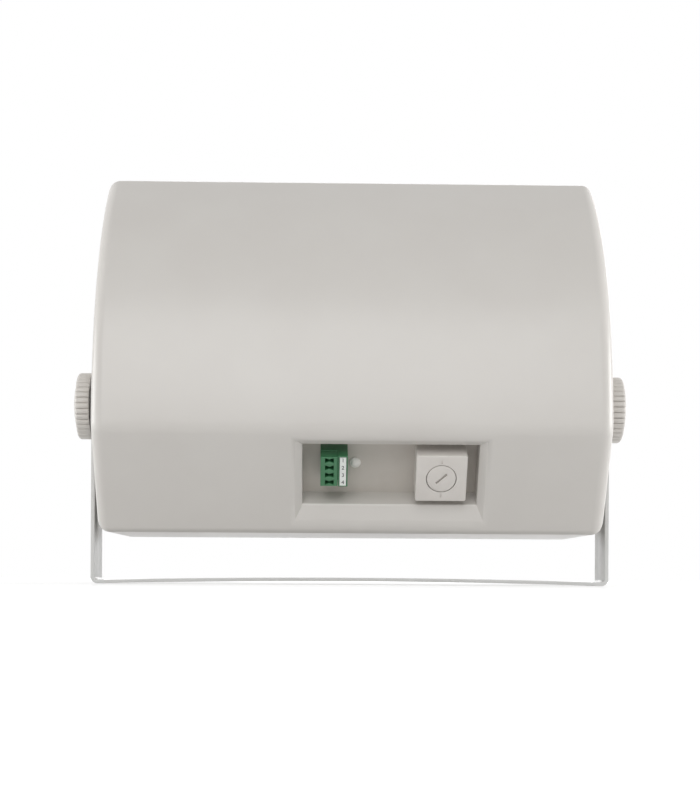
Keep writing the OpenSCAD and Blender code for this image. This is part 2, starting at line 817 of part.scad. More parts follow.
module woofer_screws() {
    color("black")
        at_woofer_screws() {
            translate([0, baffle_t - 3 + basket_t, 0]) to_front() cylinder(r = 2.6, h = 1.8);
            translate([0, -4, 0]) to_front() cylinder(r = pilot_r, h = baffle_t + 2);
        }
}

module at_tweeter_screws() {
    for (a = [45 : 90 : 315])
        translate([tweeter_x + (face_d / 2 - 4) * cos(a), ledge_y, tweeter_z + (face_d / 2 - 4) * sin(a)])
            children();
}

// Face plate with a shallow horn round the dome
module tweeter_plate() {
    r = face_d / 2;
    color("black")
        difference() {
            translate([tweeter_x, baffle_y - 3, tweeter_z])
                to_front()
                    rotate_extrude()
                        polygon([[dome_d / 2 + 0.4, -3], [tweeter_hole - 4, -3], [tweeter_hole - 4, 0], [r, 0],
                            [r, 2.6], [r - 0.4, 3], [tweeter_hole - 6, 3], [dome_d / 2 + 3, -1],
                            [dome_d / 2 + 0.4, -1.6]]);
            at_tweeter_screws() translate([0, -1, 0]) to_front() cylinder(r = 1.6, h = baffle_t + 2);
            at_tweeter_screws() translate([0, baffle_t - 1.4, 0]) to_front() cylinder(r = 3, h = 3);
        }
}

module tweeter_dome() {
    r = dome_d / 2;
    color("black")
        translate([tweeter_x, baffle_y - 6, tweeter_z])
            to_front()
                rotate_extrude()
                    polygon(concat([[0, 0], [r, 0]], flipped(dome_line(r, 5, 0.8, 6))));
}

module tweeter_magnet() {
    color("dimgrey")
        translate([tweeter_x, baffle_y - 6, tweeter_z])
            rotate([90, 0, 0]) {
                cylinder(r = 28, h = 3);
                translate([0, 0, 3]) cylinder(r = 30, h = 10);
                translate([0, 0, 13]) cylinder(r = 28, h = 3);
            }
}

module tweeter_screws() {
    color("black")
        at_tweeter_screws() {
            translate([0, baffle_t - 1.4, 0]) to_front() cylinder(r = 2.7, h = 1.4);
            translate([0, -3, 0]) to_front() cylinder(r = 1.3, h = baffle_t + 2);
        }
}

// Laminated core: an outer frame round a middle leg, standing on the cabinet's bottom
module transformer_core() {
    color("dimgrey")
        translate([core_x - core_w / 2, core_y, floor_z])
            difference() {
                cube([core_w, core_t, core_h]);
                for (x = [core_w / 6, core_w * 4 / 6])
                    translate([x, -1, core_h / 6]) cube([core_w / 6, core_t + 2, core_h * 4 / 6]);
            }
}

module transformer_coil() {
    x = core_w / 6 + 0.3;
    over = core_w / 6 - 0.6;
    color("darkorange")
        translate([core_x, core_y + core_t / 2, floor_z + core_h / 6 + 0.3])
            difference() {
                linear_extrude(core_h * 4 / 6 - 0.6) round_rect(core_w * 4 / 6 - 0.6, core_t + 2 * over, 5);
                translate([0, 0, -1]) linear_extrude(core_h) square([2 * x, core_t + 0.6], center = true);
            }
}

// Folded steel clamp over the core, with a foot at each end
module transformer_clamp() {
    t = foot_t;
    w = core_t - 6;
    color("silver")
        translate([core_x, core_y + core_t / 2, floor_z])
            difference() {
                union() {
                    translate([-core_w / 2 - t, -w / 2, 0]) cube([core_w + 2 * t, w, core_h + t]);
                    translate([-core_w / 2 - 13, -w / 2, 0]) cube([core_w + 26, w, t]);
                }
                translate([-core_w / 2, -w, -1]) cube([core_w, 2 * w, core_h + 1]);
                for (x = [-foot_x, foot_x]) translate([x, 0, -1]) cylinder(r = 2.2, h = t + 2);
            }
}

module at_feet() {
    for (x = [core_x - foot_x, core_x + foot_x]) translate([x, core_y + core_t / 2, floor_z]) children();
}

module transformer_screws() {
    color("silver")
        at_feet() {
            translate([0, 0, foot_t]) cylinder(r = 3.6, h = 2.2);
            translate([0, 0, -2.4]) cylinder(r = foot_screw_r, h = foot_t + 3);
        }
}

module at_board_posts() {
    for (x = [-1, 1], y = [-1, 1])
        translate([board_x + x * (board_w / 2 - 5), board_y + y * (board_d / 2 - 5), board_z]) children();
}

// Board of the frequency divider, on four posts of the shell
module crossover_board() {
    color("darkgreen")
        difference() {
            translate([board_x - board_w / 2, board_y - board_d / 2, board_z])
                cube([board_w, board_d, board_t]);
            at_board_posts() translate([0, 0, -3]) cylinder(r = board_screw_r, h = 6);
        }
}

module inductor() {
    color("peru")
        translate([board_x - 22, board_y, board_z + board_t]) {
            ring(8, 17, 14);
            ring(8, 19, 1.5);
            translate([0, 0, 14]) ring(8, 19, 1.5);
        }
}

module capacitors() {
    color("goldenrod")
        for (y = [-14, 12])
            translate([board_x + 6, board_y + y, board_z + board_t + 6.5])
                along_x(1) cylinder(r = 6.5, h = 30);
}

module resistor() {
    color("whitesmoke")
        translate([board_x + 8, board_y - 4, board_z + board_t]) cube([24, 7, 7]);
}

module board_screws() {
    color("silver")
        at_board_posts() {
            translate([0, 0, board_t]) cylinder(r = 2.6, h = 1.8);
            translate([0, 0, -5]) cylinder(r = board_screw_r, h = board_t + 5.5);
        }
}

// Soft lining along the bowed rear wall
module wadding() {
    a0 = 180 - 8;
    a1 = 180 - asin((wadding_top - ridge_z) / wadding_r);
    n = 12;
    color("ivory")
        rotate([90, 0, 90])
            translate([0, 0, -half + 28])
                linear_extrude(cab_len - 56)
                    polygon(concat(arc(back_c, wadding_r, a0, a1, n),
                        arc(back_c, wadding_r - wadding_t, a1, a0, n)));
}

bracket();
knob(-1);  // left_knob
knob(1);  // right_knob
stud(-1);  // left_stud
stud(1);  // right_stud
washer(-1);  // left_washer
washer(1);  // right_washer
friction_washer(-1);  // left_friction_washer
friction_washer(1);  // right_friction_washer
insert(-1);  // left_insert
insert(1);  // right_insert
rear_shell();
terminal_plate();
plate_screws();
plate_button();
terminal_socket();
terminal_plug();
clamp_screws();
marking_strip();
selector_housing();
selector_dial();
tap_switch();
gasket();
front_baffle();
baffle_screws();
grille();
grille_cloth();
woofer_basket();
surround();
cone();
dust_cap();
spider();
coil_former();
front_pole_plate();
magnet_ring();
rear_pole_plate();
woofer_screws();
tweeter_plate();
tweeter_dome();
tweeter_magnet();
tweeter_screws();
transformer_core();
transformer_coil();
transformer_clamp();
transformer_screws();
crossover_board();
inductor();
capacitors();
resistor();
board_screws();
wadding();
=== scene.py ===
# %% [markdown]
# A wall speaker seen from behind, standing on its U-bracket. The cabinet is a light grey moulding with a
# bowed back and a terminal recess in its undercut lower panel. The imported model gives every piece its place,
# so this lesson loads it first and then builds the pieces that the eye meets, one at a time.

# %% Load the frame
import json
import math
from math import cos, radians, sin, tan

import bmesh
import bpy
from mathutils import Matrix, Vector

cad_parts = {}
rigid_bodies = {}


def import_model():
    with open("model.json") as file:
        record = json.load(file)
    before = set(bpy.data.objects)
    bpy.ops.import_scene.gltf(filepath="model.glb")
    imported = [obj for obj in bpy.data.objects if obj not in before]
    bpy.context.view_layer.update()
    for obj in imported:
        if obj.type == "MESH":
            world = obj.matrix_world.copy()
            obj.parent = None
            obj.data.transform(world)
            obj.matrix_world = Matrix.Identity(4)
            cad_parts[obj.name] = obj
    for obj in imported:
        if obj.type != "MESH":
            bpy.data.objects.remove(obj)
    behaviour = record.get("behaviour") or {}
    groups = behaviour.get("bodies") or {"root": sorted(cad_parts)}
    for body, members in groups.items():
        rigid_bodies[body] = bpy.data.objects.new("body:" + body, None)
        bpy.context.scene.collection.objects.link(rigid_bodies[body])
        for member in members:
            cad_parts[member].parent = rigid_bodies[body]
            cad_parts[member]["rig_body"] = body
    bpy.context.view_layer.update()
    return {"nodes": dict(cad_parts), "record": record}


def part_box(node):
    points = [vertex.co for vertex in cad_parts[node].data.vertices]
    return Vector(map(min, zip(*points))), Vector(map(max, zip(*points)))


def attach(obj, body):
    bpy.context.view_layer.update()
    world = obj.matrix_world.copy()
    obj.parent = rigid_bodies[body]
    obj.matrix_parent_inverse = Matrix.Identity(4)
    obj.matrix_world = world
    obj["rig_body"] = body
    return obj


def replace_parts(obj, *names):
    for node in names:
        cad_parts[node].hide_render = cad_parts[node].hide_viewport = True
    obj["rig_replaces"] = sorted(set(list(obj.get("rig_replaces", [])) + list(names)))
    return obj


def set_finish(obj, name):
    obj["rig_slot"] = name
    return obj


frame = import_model()
MM = 0.001

# %% [markdown]
# The sizes that the pieces below share are read from the frame where it has them. The cabinet's section is a
# circle for the bowed back, a flat panel that leans in under the ridge, and a flat bottom and top.

# %% Shared sizes
shell_low, shell_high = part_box("rear_shell")
HALF = shell_high.x
BOTTOM_Z = shell_low.z
TOP_Z = shell_high.z
MOUTH_Y = shell_high.y
RIDGE_Y = -77.8 * MM
RIDGE_Z = 92.4 * MM
BACK_R = 213.8 * MM
PANEL_TILT = radians(31.7)
WALL = 3.5 * MM
BACK_CENTRE = Vector((0, RIDGE_Y + BACK_R, RIDGE_Z))
PANEL_DOWN = Vector((0, sin(PANEL_TILT), -cos(PANEL_TILT)))
PANEL_OUT = Vector((0, -cos(PANEL_TILT), -sin(PANEL_TILT)))
RIDGE = Vector((0, RIDGE_Y, RIDGE_Z))
PANEL_LEN = (RIDGE_Z - BOTTOM_Z) / cos(PANEL_TILT)
RECESS_DEPTH = 21 * MM
PIVOT = Vector((0, 0, 113.3 * MM))
# Points nearer to each other than TOUCH count as in one place. Rings of points are told apart by HAIR.
TOUCH = 0.01 * MM
HAIR = 0.1 * TOUCH


def on_panel(x, s, out):
    """A point on the lower panel: x along the cabinet, s down from the ridge, out from the surface."""
    return RIDGE + Vector((x, 0, 0)) + PANEL_DOWN * s + PANEL_OUT * out


def near(a, b, gap=TOUCH):
    """Whether two measures agree to within a gap."""
    return abs(a - b) < gap


print("cabinet", round(2 * HALF / MM, 1), "long,", round((TOP_Z - BOTTOM_Z) / MM, 1), "high")

# %% [markdown]
# The camera stands behind the speaker, just above the surface that it rests on, and looks level. A level
# camera keeps upright edges upright, and its shift, not a tilt, brings the object into the middle of the
# picture.

# %% Camera
CAMERA_PLACE = (-20.87 * MM, -1059 * MM, 1.8 * MM)
CAMERA_AZIMUTH = radians(1.093)
CAMERA_ROLL = radians(0.33)
CAMERA_LENS = 72.72
CAMERA_SHIFT = (0.0017, 0.2231)

camera = bpy.data.objects.new("camera", bpy.data.cameras.new("camera"))
bpy.context.collection.objects.link(camera)
bpy.context.scene.camera = camera
camera.data.lens = CAMERA_LENS
camera.data.sensor_width = 36
camera.data.clip_start = 0.01
camera.data.clip_end = 50
camera.data.shift_x, camera.data.shift_y = CAMERA_SHIFT
turn = Matrix.Rotation(-CAMERA_AZIMUTH, 4, "Z") @ Matrix.Rotation(radians(90), 4, "X")
turn = turn @ Matrix.Rotation(CAMERA_ROLL, 4, "Z")
camera.matrix_world = Matrix.Translation(CAMERA_PLACE) @ turn
print("camera at", CAMERA_PLACE, "m")

# %% [markdown]
# Helpers. Colours are written as hex values, as on a paint card, and turned to linear light in one place.
# One function adds a shader node, sets its fields and links its inputs, so that a material reads top to
# bottom.


# %% Helpers for materials
def rgb(hex_value):
    """A colour card value as linear red, green, blue and alpha."""
    parts = [int(hex_value[i : i + 2], 16) / 255 for i in (1, 3, 5)]
    return tuple(c / 12.92 if c <= 0.04045 else ((c + 0.055) / 1.055) ** 2.4 for c in parts) + (1.0,)


print("a middle grey in linear light:", [round(c, 3) for c in rgb("#808080")[:3]])


# %% Helpers for materials: nodes
def add(mat, kind, inputs=None, **fields):
    """Adds a node. An input that is a socket is linked, and any other value is set."""
    node = mat.node_tree.nodes.new(kind)
    for name, value in fields.items():
        setattr(node, name, value)
    for name, value in (inputs or {}).items():
        if isinstance(value, bpy.types.NodeSocket):
            mat.node_tree.links.new(value, node.inputs[name])
        else:
            node.inputs[name].default_value = value
    return node


def per_metre(size_mm):
    """Texture scale at which one cell of a pattern measures that many millimetres."""
    return 1 / (size_mm * MM)


def new_material(name):
    mat = bpy.data.materials.new(name)
    mat.use_nodes = True
    mat.node_tree.nodes.clear()
    return mat


def shades(mat, factor, dark, light):
    """Two shades of one colour, mixed by a pattern."""
    return add(mat, "ShaderNodeMix", {0: factor, 6: rgb(dark), 7: rgb(light)}, data_type="RGBA").outputs[2]


# %% Helpers for materials: surface and patterns
def finish_material(mat, colour, roughness, height=None, bump_mm=0.05, metallic=0.0, ior=1.46, sheen=0.0):
    """The surface of a material: its colour, its gloss, and the relief that catches the light."""
    inputs = {"Base Color": colour, "Roughness": roughness, "Metallic": metallic}
    if not metallic:
        inputs["IOR"] = ior
    if sheen:
        inputs["Sheen Weight"] = sheen
    if height is not None:
        relief = add(mat, "ShaderNodeBump", {"Strength": 1.0, "Distance": bump_mm * MM, "Height": height})
        inputs["Normal"] = relief.outputs["Normal"]
    surface = add(mat, "ShaderNodeBsdfPrincipled", inputs)
    add(mat, "ShaderNodeOutputMaterial", {"Surface": surface.outputs["BSDF"]})
    return mat


def noise(mat, size_mm, detail=2.0, stretch=None):
    """Soft random pattern with blobs of one size, in millimetres, fixed to the object."""
    place = add(mat, "ShaderNodeTexCoord").outputs["Object"]
    if stretch:
        place = add(mat, "ShaderNodeMapping", {"Vector": place, "Scale": stretch}).outputs["Vector"]
    inputs = {"Vector": place, "Scale": per_metre(size_mm), "Detail": detail}
    return add(mat, "ShaderNodeTexNoise", inputs).outputs["Fac"]


def between(mat, factor, low, high):
    """A pattern's 0 to 1 laid over another range."""
    return add(mat, "ShaderNodeMapRange", {"Value": factor, "To Min": low, "To Max": high}).outputs["Result"]


# %% [markdown]
# The cabinet is injection-moulded ABS, pigmented light grey. The mould was spark-eroded very finely, which
# leaves a satin skin that turns bright where the eye grazes it, and a moulding of this size has faint clouds
# where the melt flowed. The grain of a tenth of a millimetre is too fine for the picture, so it is drawn at
# half a millimetre.


# %% Cabinet plastic
def moulded_abs():
    mat = new_material("moulded_abs")
    clouds = noise(mat, 45, 3)
    grain = noise(mat, 0.55, 2)
    colour = shades(mat, clouds, "#cdc9c4", "#d3d0cb")
    return finish_material(mat, colour, between(mat, grain, 0.26, 0.34), grain, 0.003, ior=1.45)


CABINET = moulded_abs()
print("cabinet finish:", CABINET.name)

# %% [markdown]
# The knobs are moulded from the same grey plastic, with a coarser grain that gives the fingers some grip.
# The bracket is bent steel under a satin powder coat, whose droplets flow into a faint orange peel.


# %% Knob plastic and powder coat
def moulded_knob():
    mat = new_material("moulded_knob")
    grain = noise(mat, 0.4, 2)
    colour = shades(mat, noise(mat, 12), "#cbc7c2", "#d1cdc8")
    return finish_material(mat, colour, between(mat, grain, 0.36, 0.5), grain, 0.008, ior=1.5)


def powder_coat(name, dark, light):
    mat = new_material(name)
    peel = noise(mat, 1.6, 1)
    colour = shades(mat, noise(mat, 30), dark, light)
    return finish_material(mat, colour, between(mat, peel, 0.2, 0.27), peel, 0.004, ior=1.48)


KNOB = moulded_knob()
BRACKET = powder_coat("powder_coated_steel", "#cfcfcd", "#d8d8d6")
GRILLE = powder_coat("powder_coated_grille", "#c9c6c1", "#d0cdc8")
print("knob and bracket finishes:", KNOB.name, BRACKET.name, GRILLE.name)

# %% [markdown]
# The terminal is glass-filled polyamide, in the usual green of pluggable wire terminals: deep, faintly waxy,
# and mottled by the fibres near its skin. Its marking strip is white and takes ink, so it is dead matt.


# %% Terminal plastics
def green_polyamide():
    mat = new_material("green_polyamide")
    fibres = noise(mat, 0.6, 4, stretch=(1, 4, 1))
    colour = shades(mat, fibres, "#326a46", "#417c55")
    return finish_material(mat, colour, between(mat, fibres, 0.32, 0.46), fibres, 0.01, ior=1.53)


def plain_plastic(name, dark, light, low=0.4, high=0.55):
    """A small moulded part: its two shades lie close together, and its grain is fine."""
    mat = new_material(name)
    grain = noise(mat, 0.4, 2)
    colour = shades(mat, noise(mat, 9), dark, light)
    return finish_material(mat, colour, between(mat, grain, low, high), grain, 0.008)


TERMINAL = green_polyamide()
STRIP = plain_plastic("marking_strip_plastic", "#e2e6e2", "#ebeeea", 0.6, 0.75)
SELECTOR = plain_plastic("selector_plastic", "#d5d0ca", "#dad6d1", 0.35, 0.48)
PLATE = plain_plastic("terminal_plate_plastic", "#c3bdb5", "#cac5be", 0.45, 0.6)
BUTTON = plain_plastic("nylon_button", "#eeece7", "#f4f2ee", 0.25, 0.35)
INK = plain_plastic("black_printing_ink", "#222426", "#2c2e30", 0.5, 0.6)
BLACK_PLASTIC = plain_plastic("black_moulded_plastic", "#1b1b1c", "#242425")
BAFFLE = plain_plastic("baffle_plastic", "#2a2a2b", "#323233", 0.5, 0.65)
print("plastics so far:", sum("plastic" in mat.name for mat in bpy.data.materials))

# %% [markdown]
# Metals. Zinc-plated steel is bright and slightly blue, with brush lines where the barrel rubbed it. Brass
# is turned, so its lines run along one way too. A metal keeps the default index of refraction and takes its
# look from its colour.


# %% Metals
def plated(name, dark, light, rough=0.3):
    mat = new_material(name)
    lines = noise(mat, 0.5, 3, stretch=(1, 1, 9))
    roughness = between(mat, lines, rough, rough + 0.15)
    return finish_material(mat, shades(mat, lines, dark, light), roughness, lines, 0.004, metallic=1.0)


ZINC = plated("zinc_plated_steel", "#b9bcbf", "#cfd2d4")
BRASS = plated("turned_brass", "#b08d4a", "#c9a860", 0.25)


def painted_black(name):
    mat = new_material(name)
    peel = noise(mat, 1.2, 1)
    colour = shades(mat, peel, "#17171a", "#232326")
    return finish_material(mat, colour, between(mat, peel, 0.3, 0.42), peel, 0.015)


BLACK_STEEL = painted_black("black_lacquered_steel")
print("metals:", ZINC.name, BRASS.name, BLACK_STEEL.name)

# %% [markdown]
# The rest sits inside the cabinet or behind the grille. Each piece still gets the finish of the real one:
# pressed paper pulp for the cone, coated silk for the dome, sintered ferrite for the magnets, enamelled
# copper wire for the windings.


# %% Inner finishes
def matt_pattern(name, dark, light, size_mm, rough, bump_mm, detail=3.0, stretch=None, **extra):
    """A surface ruled by one pattern: pulp, rubber, ferrite, foam, fibre."""
    mat = new_material(name)
    pattern = noise(mat, size_mm, detail, stretch)
    return finish_material(mat, shades(mat, pattern, dark, light), rough, pattern, bump_mm, **extra)


def bands(mat, pitch_mm, axis, wobble):
    """Parallel bands of one pitch, in millimetres. A wave texture runs through 20 radians a unit."""
    place = add(mat, "ShaderNodeTexCoord").outputs["Object"]
    inputs = {"Vector": place, "Scale": per_metre(pitch_mm) * 2 * math.pi / 20, "Distortion": wobble}
    return add(mat, "ShaderNodeTexWave", inputs, bands_direction=axis).outputs["Fac"]


def banded(name, dark, light, pitch_mm, axis, rough, bump_mm, metallic=0.0):
    """A surface of fine parallel lines: wire turns, laminations, woven rows."""
    mat = new_material(name)
    lines = bands(mat, pitch_mm, axis, 0.3)
    return finish_material(mat, shades(mat, lines, dark, light), rough, lines, bump_mm, metallic=metallic)


def woven(name, dark, light, thread_mm, rough=0.9):
    """Plain weave: two sets of threads that cross, over and under."""
    mat = new_material(name)
    rows = [bands(mat, thread_mm, axis, 0.15) for axis in ("X", "Z")]
    weave = add(mat, "ShaderNodeMath", {0: rows[0], 1: rows[1]}, operation="MULTIPLY").outputs[0]
    return finish_material(mat, shades(mat, weave, dark, light), rough, weave, 0.08, sheen=0.2)


# %% Inner finishes: one for each slot
INNER = {
    "friction_rubber": matt_pattern("moulded_rubber_washer", "#2b2b2b", "#383838", 0.8, 0.75, 0.02),
    "surround_rubber": matt_pattern("surround_rubber", "#1c1c1d", "#262627", 0.8, 0.6, 0.01),
    "gasket_foam": matt_pattern("cellular_foam", "#161616", "#2a2a2a", 0.7, 0.95, 0.2, 5),
    "cone_paper": matt_pattern("pressed_paper_pulp", "#2c2d30", "#3c3d40", 1.1, 0.85, 0.06, 6),
    "spider_cloth": woven("impregnated_cotton", "#8a6a35", "#b08c50", 0.8),
    "ferrite": matt_pattern("sintered_ferrite", "#2d2d2f", "#434345", 0.5, 0.7, 0.03, 6),
    "dome_silk": woven("coated_silk", "#151516", "#29292a", 0.4, 0.55),
    "grille_cloth": woven("acoustic_cloth", "#131313", "#2b2b2b", 0.9),
    "core_steel": banded("varnished_laminations", "#25252a", "#4a4a4e", 0.5, "Y", 0.5, 0.05),
    "winding_copper": banded("enamelled_copper_wire", "#8c4a1e", "#c77f45", 0.6, "Z", 0.35, 0.1, 0.6),
    "board_laminate": matt_pattern("solder_masked_laminate", "#1c5a2f", "#26703c", 3.0, 0.4, 0.01),
    "film_yellow": matt_pattern("wrapped_film", "#c59a2c", "#d6ad43", 4.0, 0.35, 0.01),
    "resistor_ceramic": matt_pattern("cement_case", "#d2d1ca", "#e2e1db", 0.6, 0.85, 0.04, 5),
    "wadding_fibre": matt_pattern(
        "polyester_fleece", "#c9c7bf", "#efeee8", 1.5, 1.0, 0.8, detail=8, stretch=(1, 5, 5), sheen=0.3),
    "cabinet_plastic": CABINET,
    "knob_plastic": KNOB,
    "bracket_paint": BRACKET,
    "grille_paint": GRILLE,
    "zinc_steel": ZINC,
    "insert_brass": BRASS,
    "plate_plastic": PLATE,
    "button_white": BUTTON,
    "terminal_green": TERMINAL,
    "label_white": STRIP,
    "selector_plastic": SELECTOR,
    "black_plastic": BLACK_PLASTIC,
    "baffle_plastic": BAFFLE,
    "black_steel": BLACK_STEEL,
}

for row in frame["record"]["subparts"]:
    cad = frame["nodes"][row["node"]]
    cad.data.materials.clear()
    cad.data.materials.append(INNER[row["material_slot"]])
print(len(frame["nodes"]), "CAD nodes dressed with", len(INNER), "materials")

# %% [markdown]
# Helpers for modelling. Every piece starts from a primitive and is shaped in edit mode. Faces and edges are
# picked in code by their place or their normal, and each operator acts only on what was picked.


# %% Helpers for modelling
def rest_hands():
    """Object mode with nothing selected."""
    if bpy.context.object and bpy.context.object.mode != "OBJECT":
        bpy.ops.object.mode_set(mode="OBJECT")
    bpy.ops.object.select_all(action="DESELECT")


def begin(name):
    """Names the new primitive, fixes its place into its mesh and opens it in edit mode."""
    piece = bpy.context.object
    piece.name = piece.data.name = name
    bpy.ops.object.transform_apply(location=True, rotation=True, scale=True)
    bpy.ops.object.mode_set(mode="EDIT")
    return piece


def pick(kind, test):
    """Selects the faces, edges or vertices of the open mesh that pass a test, and nothing else."""
    mesh = bmesh.from_edit_mesh(bpy.context.object.data)
    bpy.ops.mesh.select_mode(type={"faces": "FACE", "edges": "EDGE", "verts": "VERT"}[kind])
    for things in (mesh.verts, mesh.edges, mesh.faces):
        for thing in things:
            thing.select = False
    mesh.normal_update()
    chosen = [thing for thing in getattr(mesh, kind) if test(thing)]
    for thing in chosen:
        thing.select_set(True)
    mesh.select_flush_mode()
    bmesh.update_edit_mesh(bpy.context.object.data)
    return len(chosen)


def middle(thing):
    """Middle of an edge or a face."""
    corners = [v.co for v in thing.verts]
    return sum(corners, Vector()) / len(corners)


# %% Helpers for modelling: moves on what is picked
def extrude_faces(move):
    bpy.ops.mesh.extrude_region_move(TRANSFORM_OT_translate={"value": tuple(move)})


def extrude_edges(move):
    bpy.ops.mesh.extrude_edges_move(TRANSFORM_OT_translate={"value": tuple(move)})


def shift(move):
    bpy.ops.transform.translate(value=tuple(move))


def scale_about(factors, centre):
    bpy.ops.transform.resize(value=tuple(factors), center_override=tuple(centre))


def round_edges(offset, segments):
    """A round bevel on the picked edges."""
    bpy.ops.mesh.bevel(offset=offset, segments=segments, profile=0.5, affect="EDGES", clamp_overlap=False)


def tidy_normals():
    """Welds what meets and turns every face of the open mesh outwards."""
    bpy.ops.mesh.select_all(action="SELECT")
    bpy.ops.mesh.remove_doubles(threshold=TOUCH)
    bpy.ops.mesh.normals_make_consistent(inside=False)


# %% Helpers for modelling: whole pieces
def apply_modifier(piece, kind, **fields):
    """Adds a modifier, sets it and applies it."""
    rest_hands()
    bpy.context.view_layer.objects.active = piece
    piece.select_set(True)
    made = piece.modifiers.new(kind.lower(), kind)
    for name, value in fields.items():
        setattr(made, name, value)
    bpy.ops.object.modifier_apply(modifier=made.name)


def drill(piece, centre, axis, radius, depth, vertices=48):
    """Bores a round hole through a piece."""
    rest_hands()
    bpy.ops.mesh.primitive_cylinder_add(vertices=vertices, radius=radius, depth=depth, location=centre,
                                        rotation=Vector(axis).to_track_quat("Z", "Y").to_euler())
    tool = bpy.context.object
    bpy.ops.object.transform_apply(location=True, rotation=True, scale=True)
    apply_modifier(piece, "BOOLEAN", operation="DIFFERENCE", object=tool, solver="EXACT")
    bpy.data.objects.remove(tool)


def finish(piece, material, body, slot_name, *nodes, angle=35):
    """Smooth shading, finish, body and the CAD nodes that the piece stands for."""
    rest_hands()
    bpy.context.view_layer.objects.active = piece
    piece.select_set(True)
    bpy.ops.object.shade_smooth_by_angle(angle=radians(angle))
    piece.data.materials.clear()
    piece.data.materials.append(material)
    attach(piece, body)
    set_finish(piece, slot_name)
    if nodes:
        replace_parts(piece, *nodes)
    print(piece.name, "has", len(piece.data.polygons), "faces")


# %% [markdown]
# The cabinet's rear is one thick-walled moulding. Its back is part of a drum, so one edge is spun about the
# drum's axis. The panel, the bottom and the top are extruded from the spun sheet's edges, the ends are
# filled, and the ends' rims and the long edges are bevelled round. Only then is the recess pushed into the
# flat panel.

# %% Cabinet: the spun back
END_ROUND = 8 * MM
RIDGE_ROUND = 14 * MM
EDGE_ROUND = 6 * MM
BACK_STEPS = 32
top_turn = math.asin((TOP_Z - RIDGE_Z) / BACK_R)

rest_hands()
bpy.ops.mesh.primitive_plane_add(size=2 * HALF, location=(0, RIDGE_Y + HALF, RIDGE_Z))
shell = begin("cabinet_shell")
pick("verts", lambda v: v.co.y > RIDGE_Y + HALF)
bpy.ops.mesh.delete(type="VERT")
bpy.ops.mesh.select_all(action="SELECT")
bpy.ops.mesh.spin(steps=BACK_STEPS, angle=top_turn, center=BACK_CENTRE, axis=(1, 0, 0))
top_back_y = BACK_CENTRE.y - BACK_R * cos(top_turn)
print("the back turns through", round(math.degrees(top_turn), 1), "degrees up to the top")
pick("edges", lambda e: middle(e).z > TOP_Z - TOUCH)
extrude_edges((0, MOUTH_Y - top_back_y, 0))

# %% Cabinet: panel, bottom and ends
low_corner = RIDGE + PANEL_DOWN * PANEL_LEN
pick("edges", lambda e: (middle(e) - RIDGE).length < TOUCH)
extrude_edges(PANEL_DOWN * PANEL_LEN)
pick("edges", lambda e: (middle(e) - low_corner).length < TOUCH)
extrude_edges((0, MOUTH_Y - low_corner.y, 0))
for side in (-1, 1):
    pick("edges", lambda e: all(near(v.co.x, side * HALF) for v in e.verts))
    bpy.ops.mesh.edge_face_add()
tidy_normals()
print("the lower rear edge lies at", [round(v / MM, 1) for v in low_corner], "mm")

# %% [markdown]
# A bevel's offset is measured along the faces that it eats into, so for a wanted radius it is that radius
# times the tangent of half the turn at the edge. The end rims go first. Their round leaves each long edge
# running down over the ends as a crease, which the second set of bevels follows.

# %% Cabinet: rounded rims and edges
at_mouth = lambda v: v.co.y > MOUTH_Y - TOUCH
pick("edges", lambda e: near(abs(middle(e).x), HALF) and not all(at_mouth(v) for v in e.verts))
round_edges(END_ROUND, 7)

QUARTER = radians(90)
top_corner = Vector((0, top_back_y, TOP_Z))
# Each crease: its middle, the way it faces in the section, its radius, the turn over it, the bevel's steps.
creases = [
    (RIDGE, 2 * QUARTER + PANEL_TILT / 2, RIDGE_ROUND, PANEL_TILT, 6),
    (low_corner, (5 * QUARTER + PANEL_TILT) / 2, EDGE_ROUND, QUARTER - PANEL_TILT, 6),
    (top_corner, QUARTER + (QUARTER - top_turn) / 2, EDGE_ROUND, QUARTER - top_turn, 5),
]
for corner, facing, radius, bend, steps in creases:
    across = Vector((0, -sin(facing), cos(facing)))

    def on_crease(v):
        gap = v.co - corner
        return near(gap.dot(across), 0, 5 * TOUCH) and Vector((0, gap.y, gap.z)).length < END_ROUND * 1.3

    count = pick("edges", lambda e: all(on_crease(v) for v in e.verts))
    round_edges(radius * tan(bend / 2), steps)
    print("crease of", count, "edges rounded")

# %% [markdown]
# The recess opens in the lower panel. Four bisections mark the mouth of its bevel on the flat face. The
# marked face is pushed in and its sides drawn together, which gives the bevel with its mitred corners, and a
# second push makes the straight walls. The last face is removed: the terminal plate closes the recess from
# inside.

# %% Cabinet: the recess
RECESS_X0 = -30.8 * MM
RECESS_X1 = 78.4 * MM
RECESS_S0 = 12.7 * MM
RECESS_S1 = 54.6 * MM
BEVEL_SIDE = 5.5 * MM
BEVEL_LOW = 11.6 * MM
BEVEL_DEPTH = 5 * MM


def panel_s(point):
    """Distance of a point down the panel from the ridge."""
    return (point - RIDGE).dot(PANEL_DOWN)


def height_out(point):
    """Height of a point over the panel's surface."""
    return (point - RIDGE).dot(PANEL_OUT)


def is_panel(face):
    return near(height_out(middle(face)), 0, 2 * TOUCH) and face.normal.dot(PANEL_OUT) > 0.999


opening = (RECESS_X1 - RECESS_X0, RECESS_S1 - RECESS_S0)
print("recess opening in mm:", [round(v / MM, 1) for v in opening])

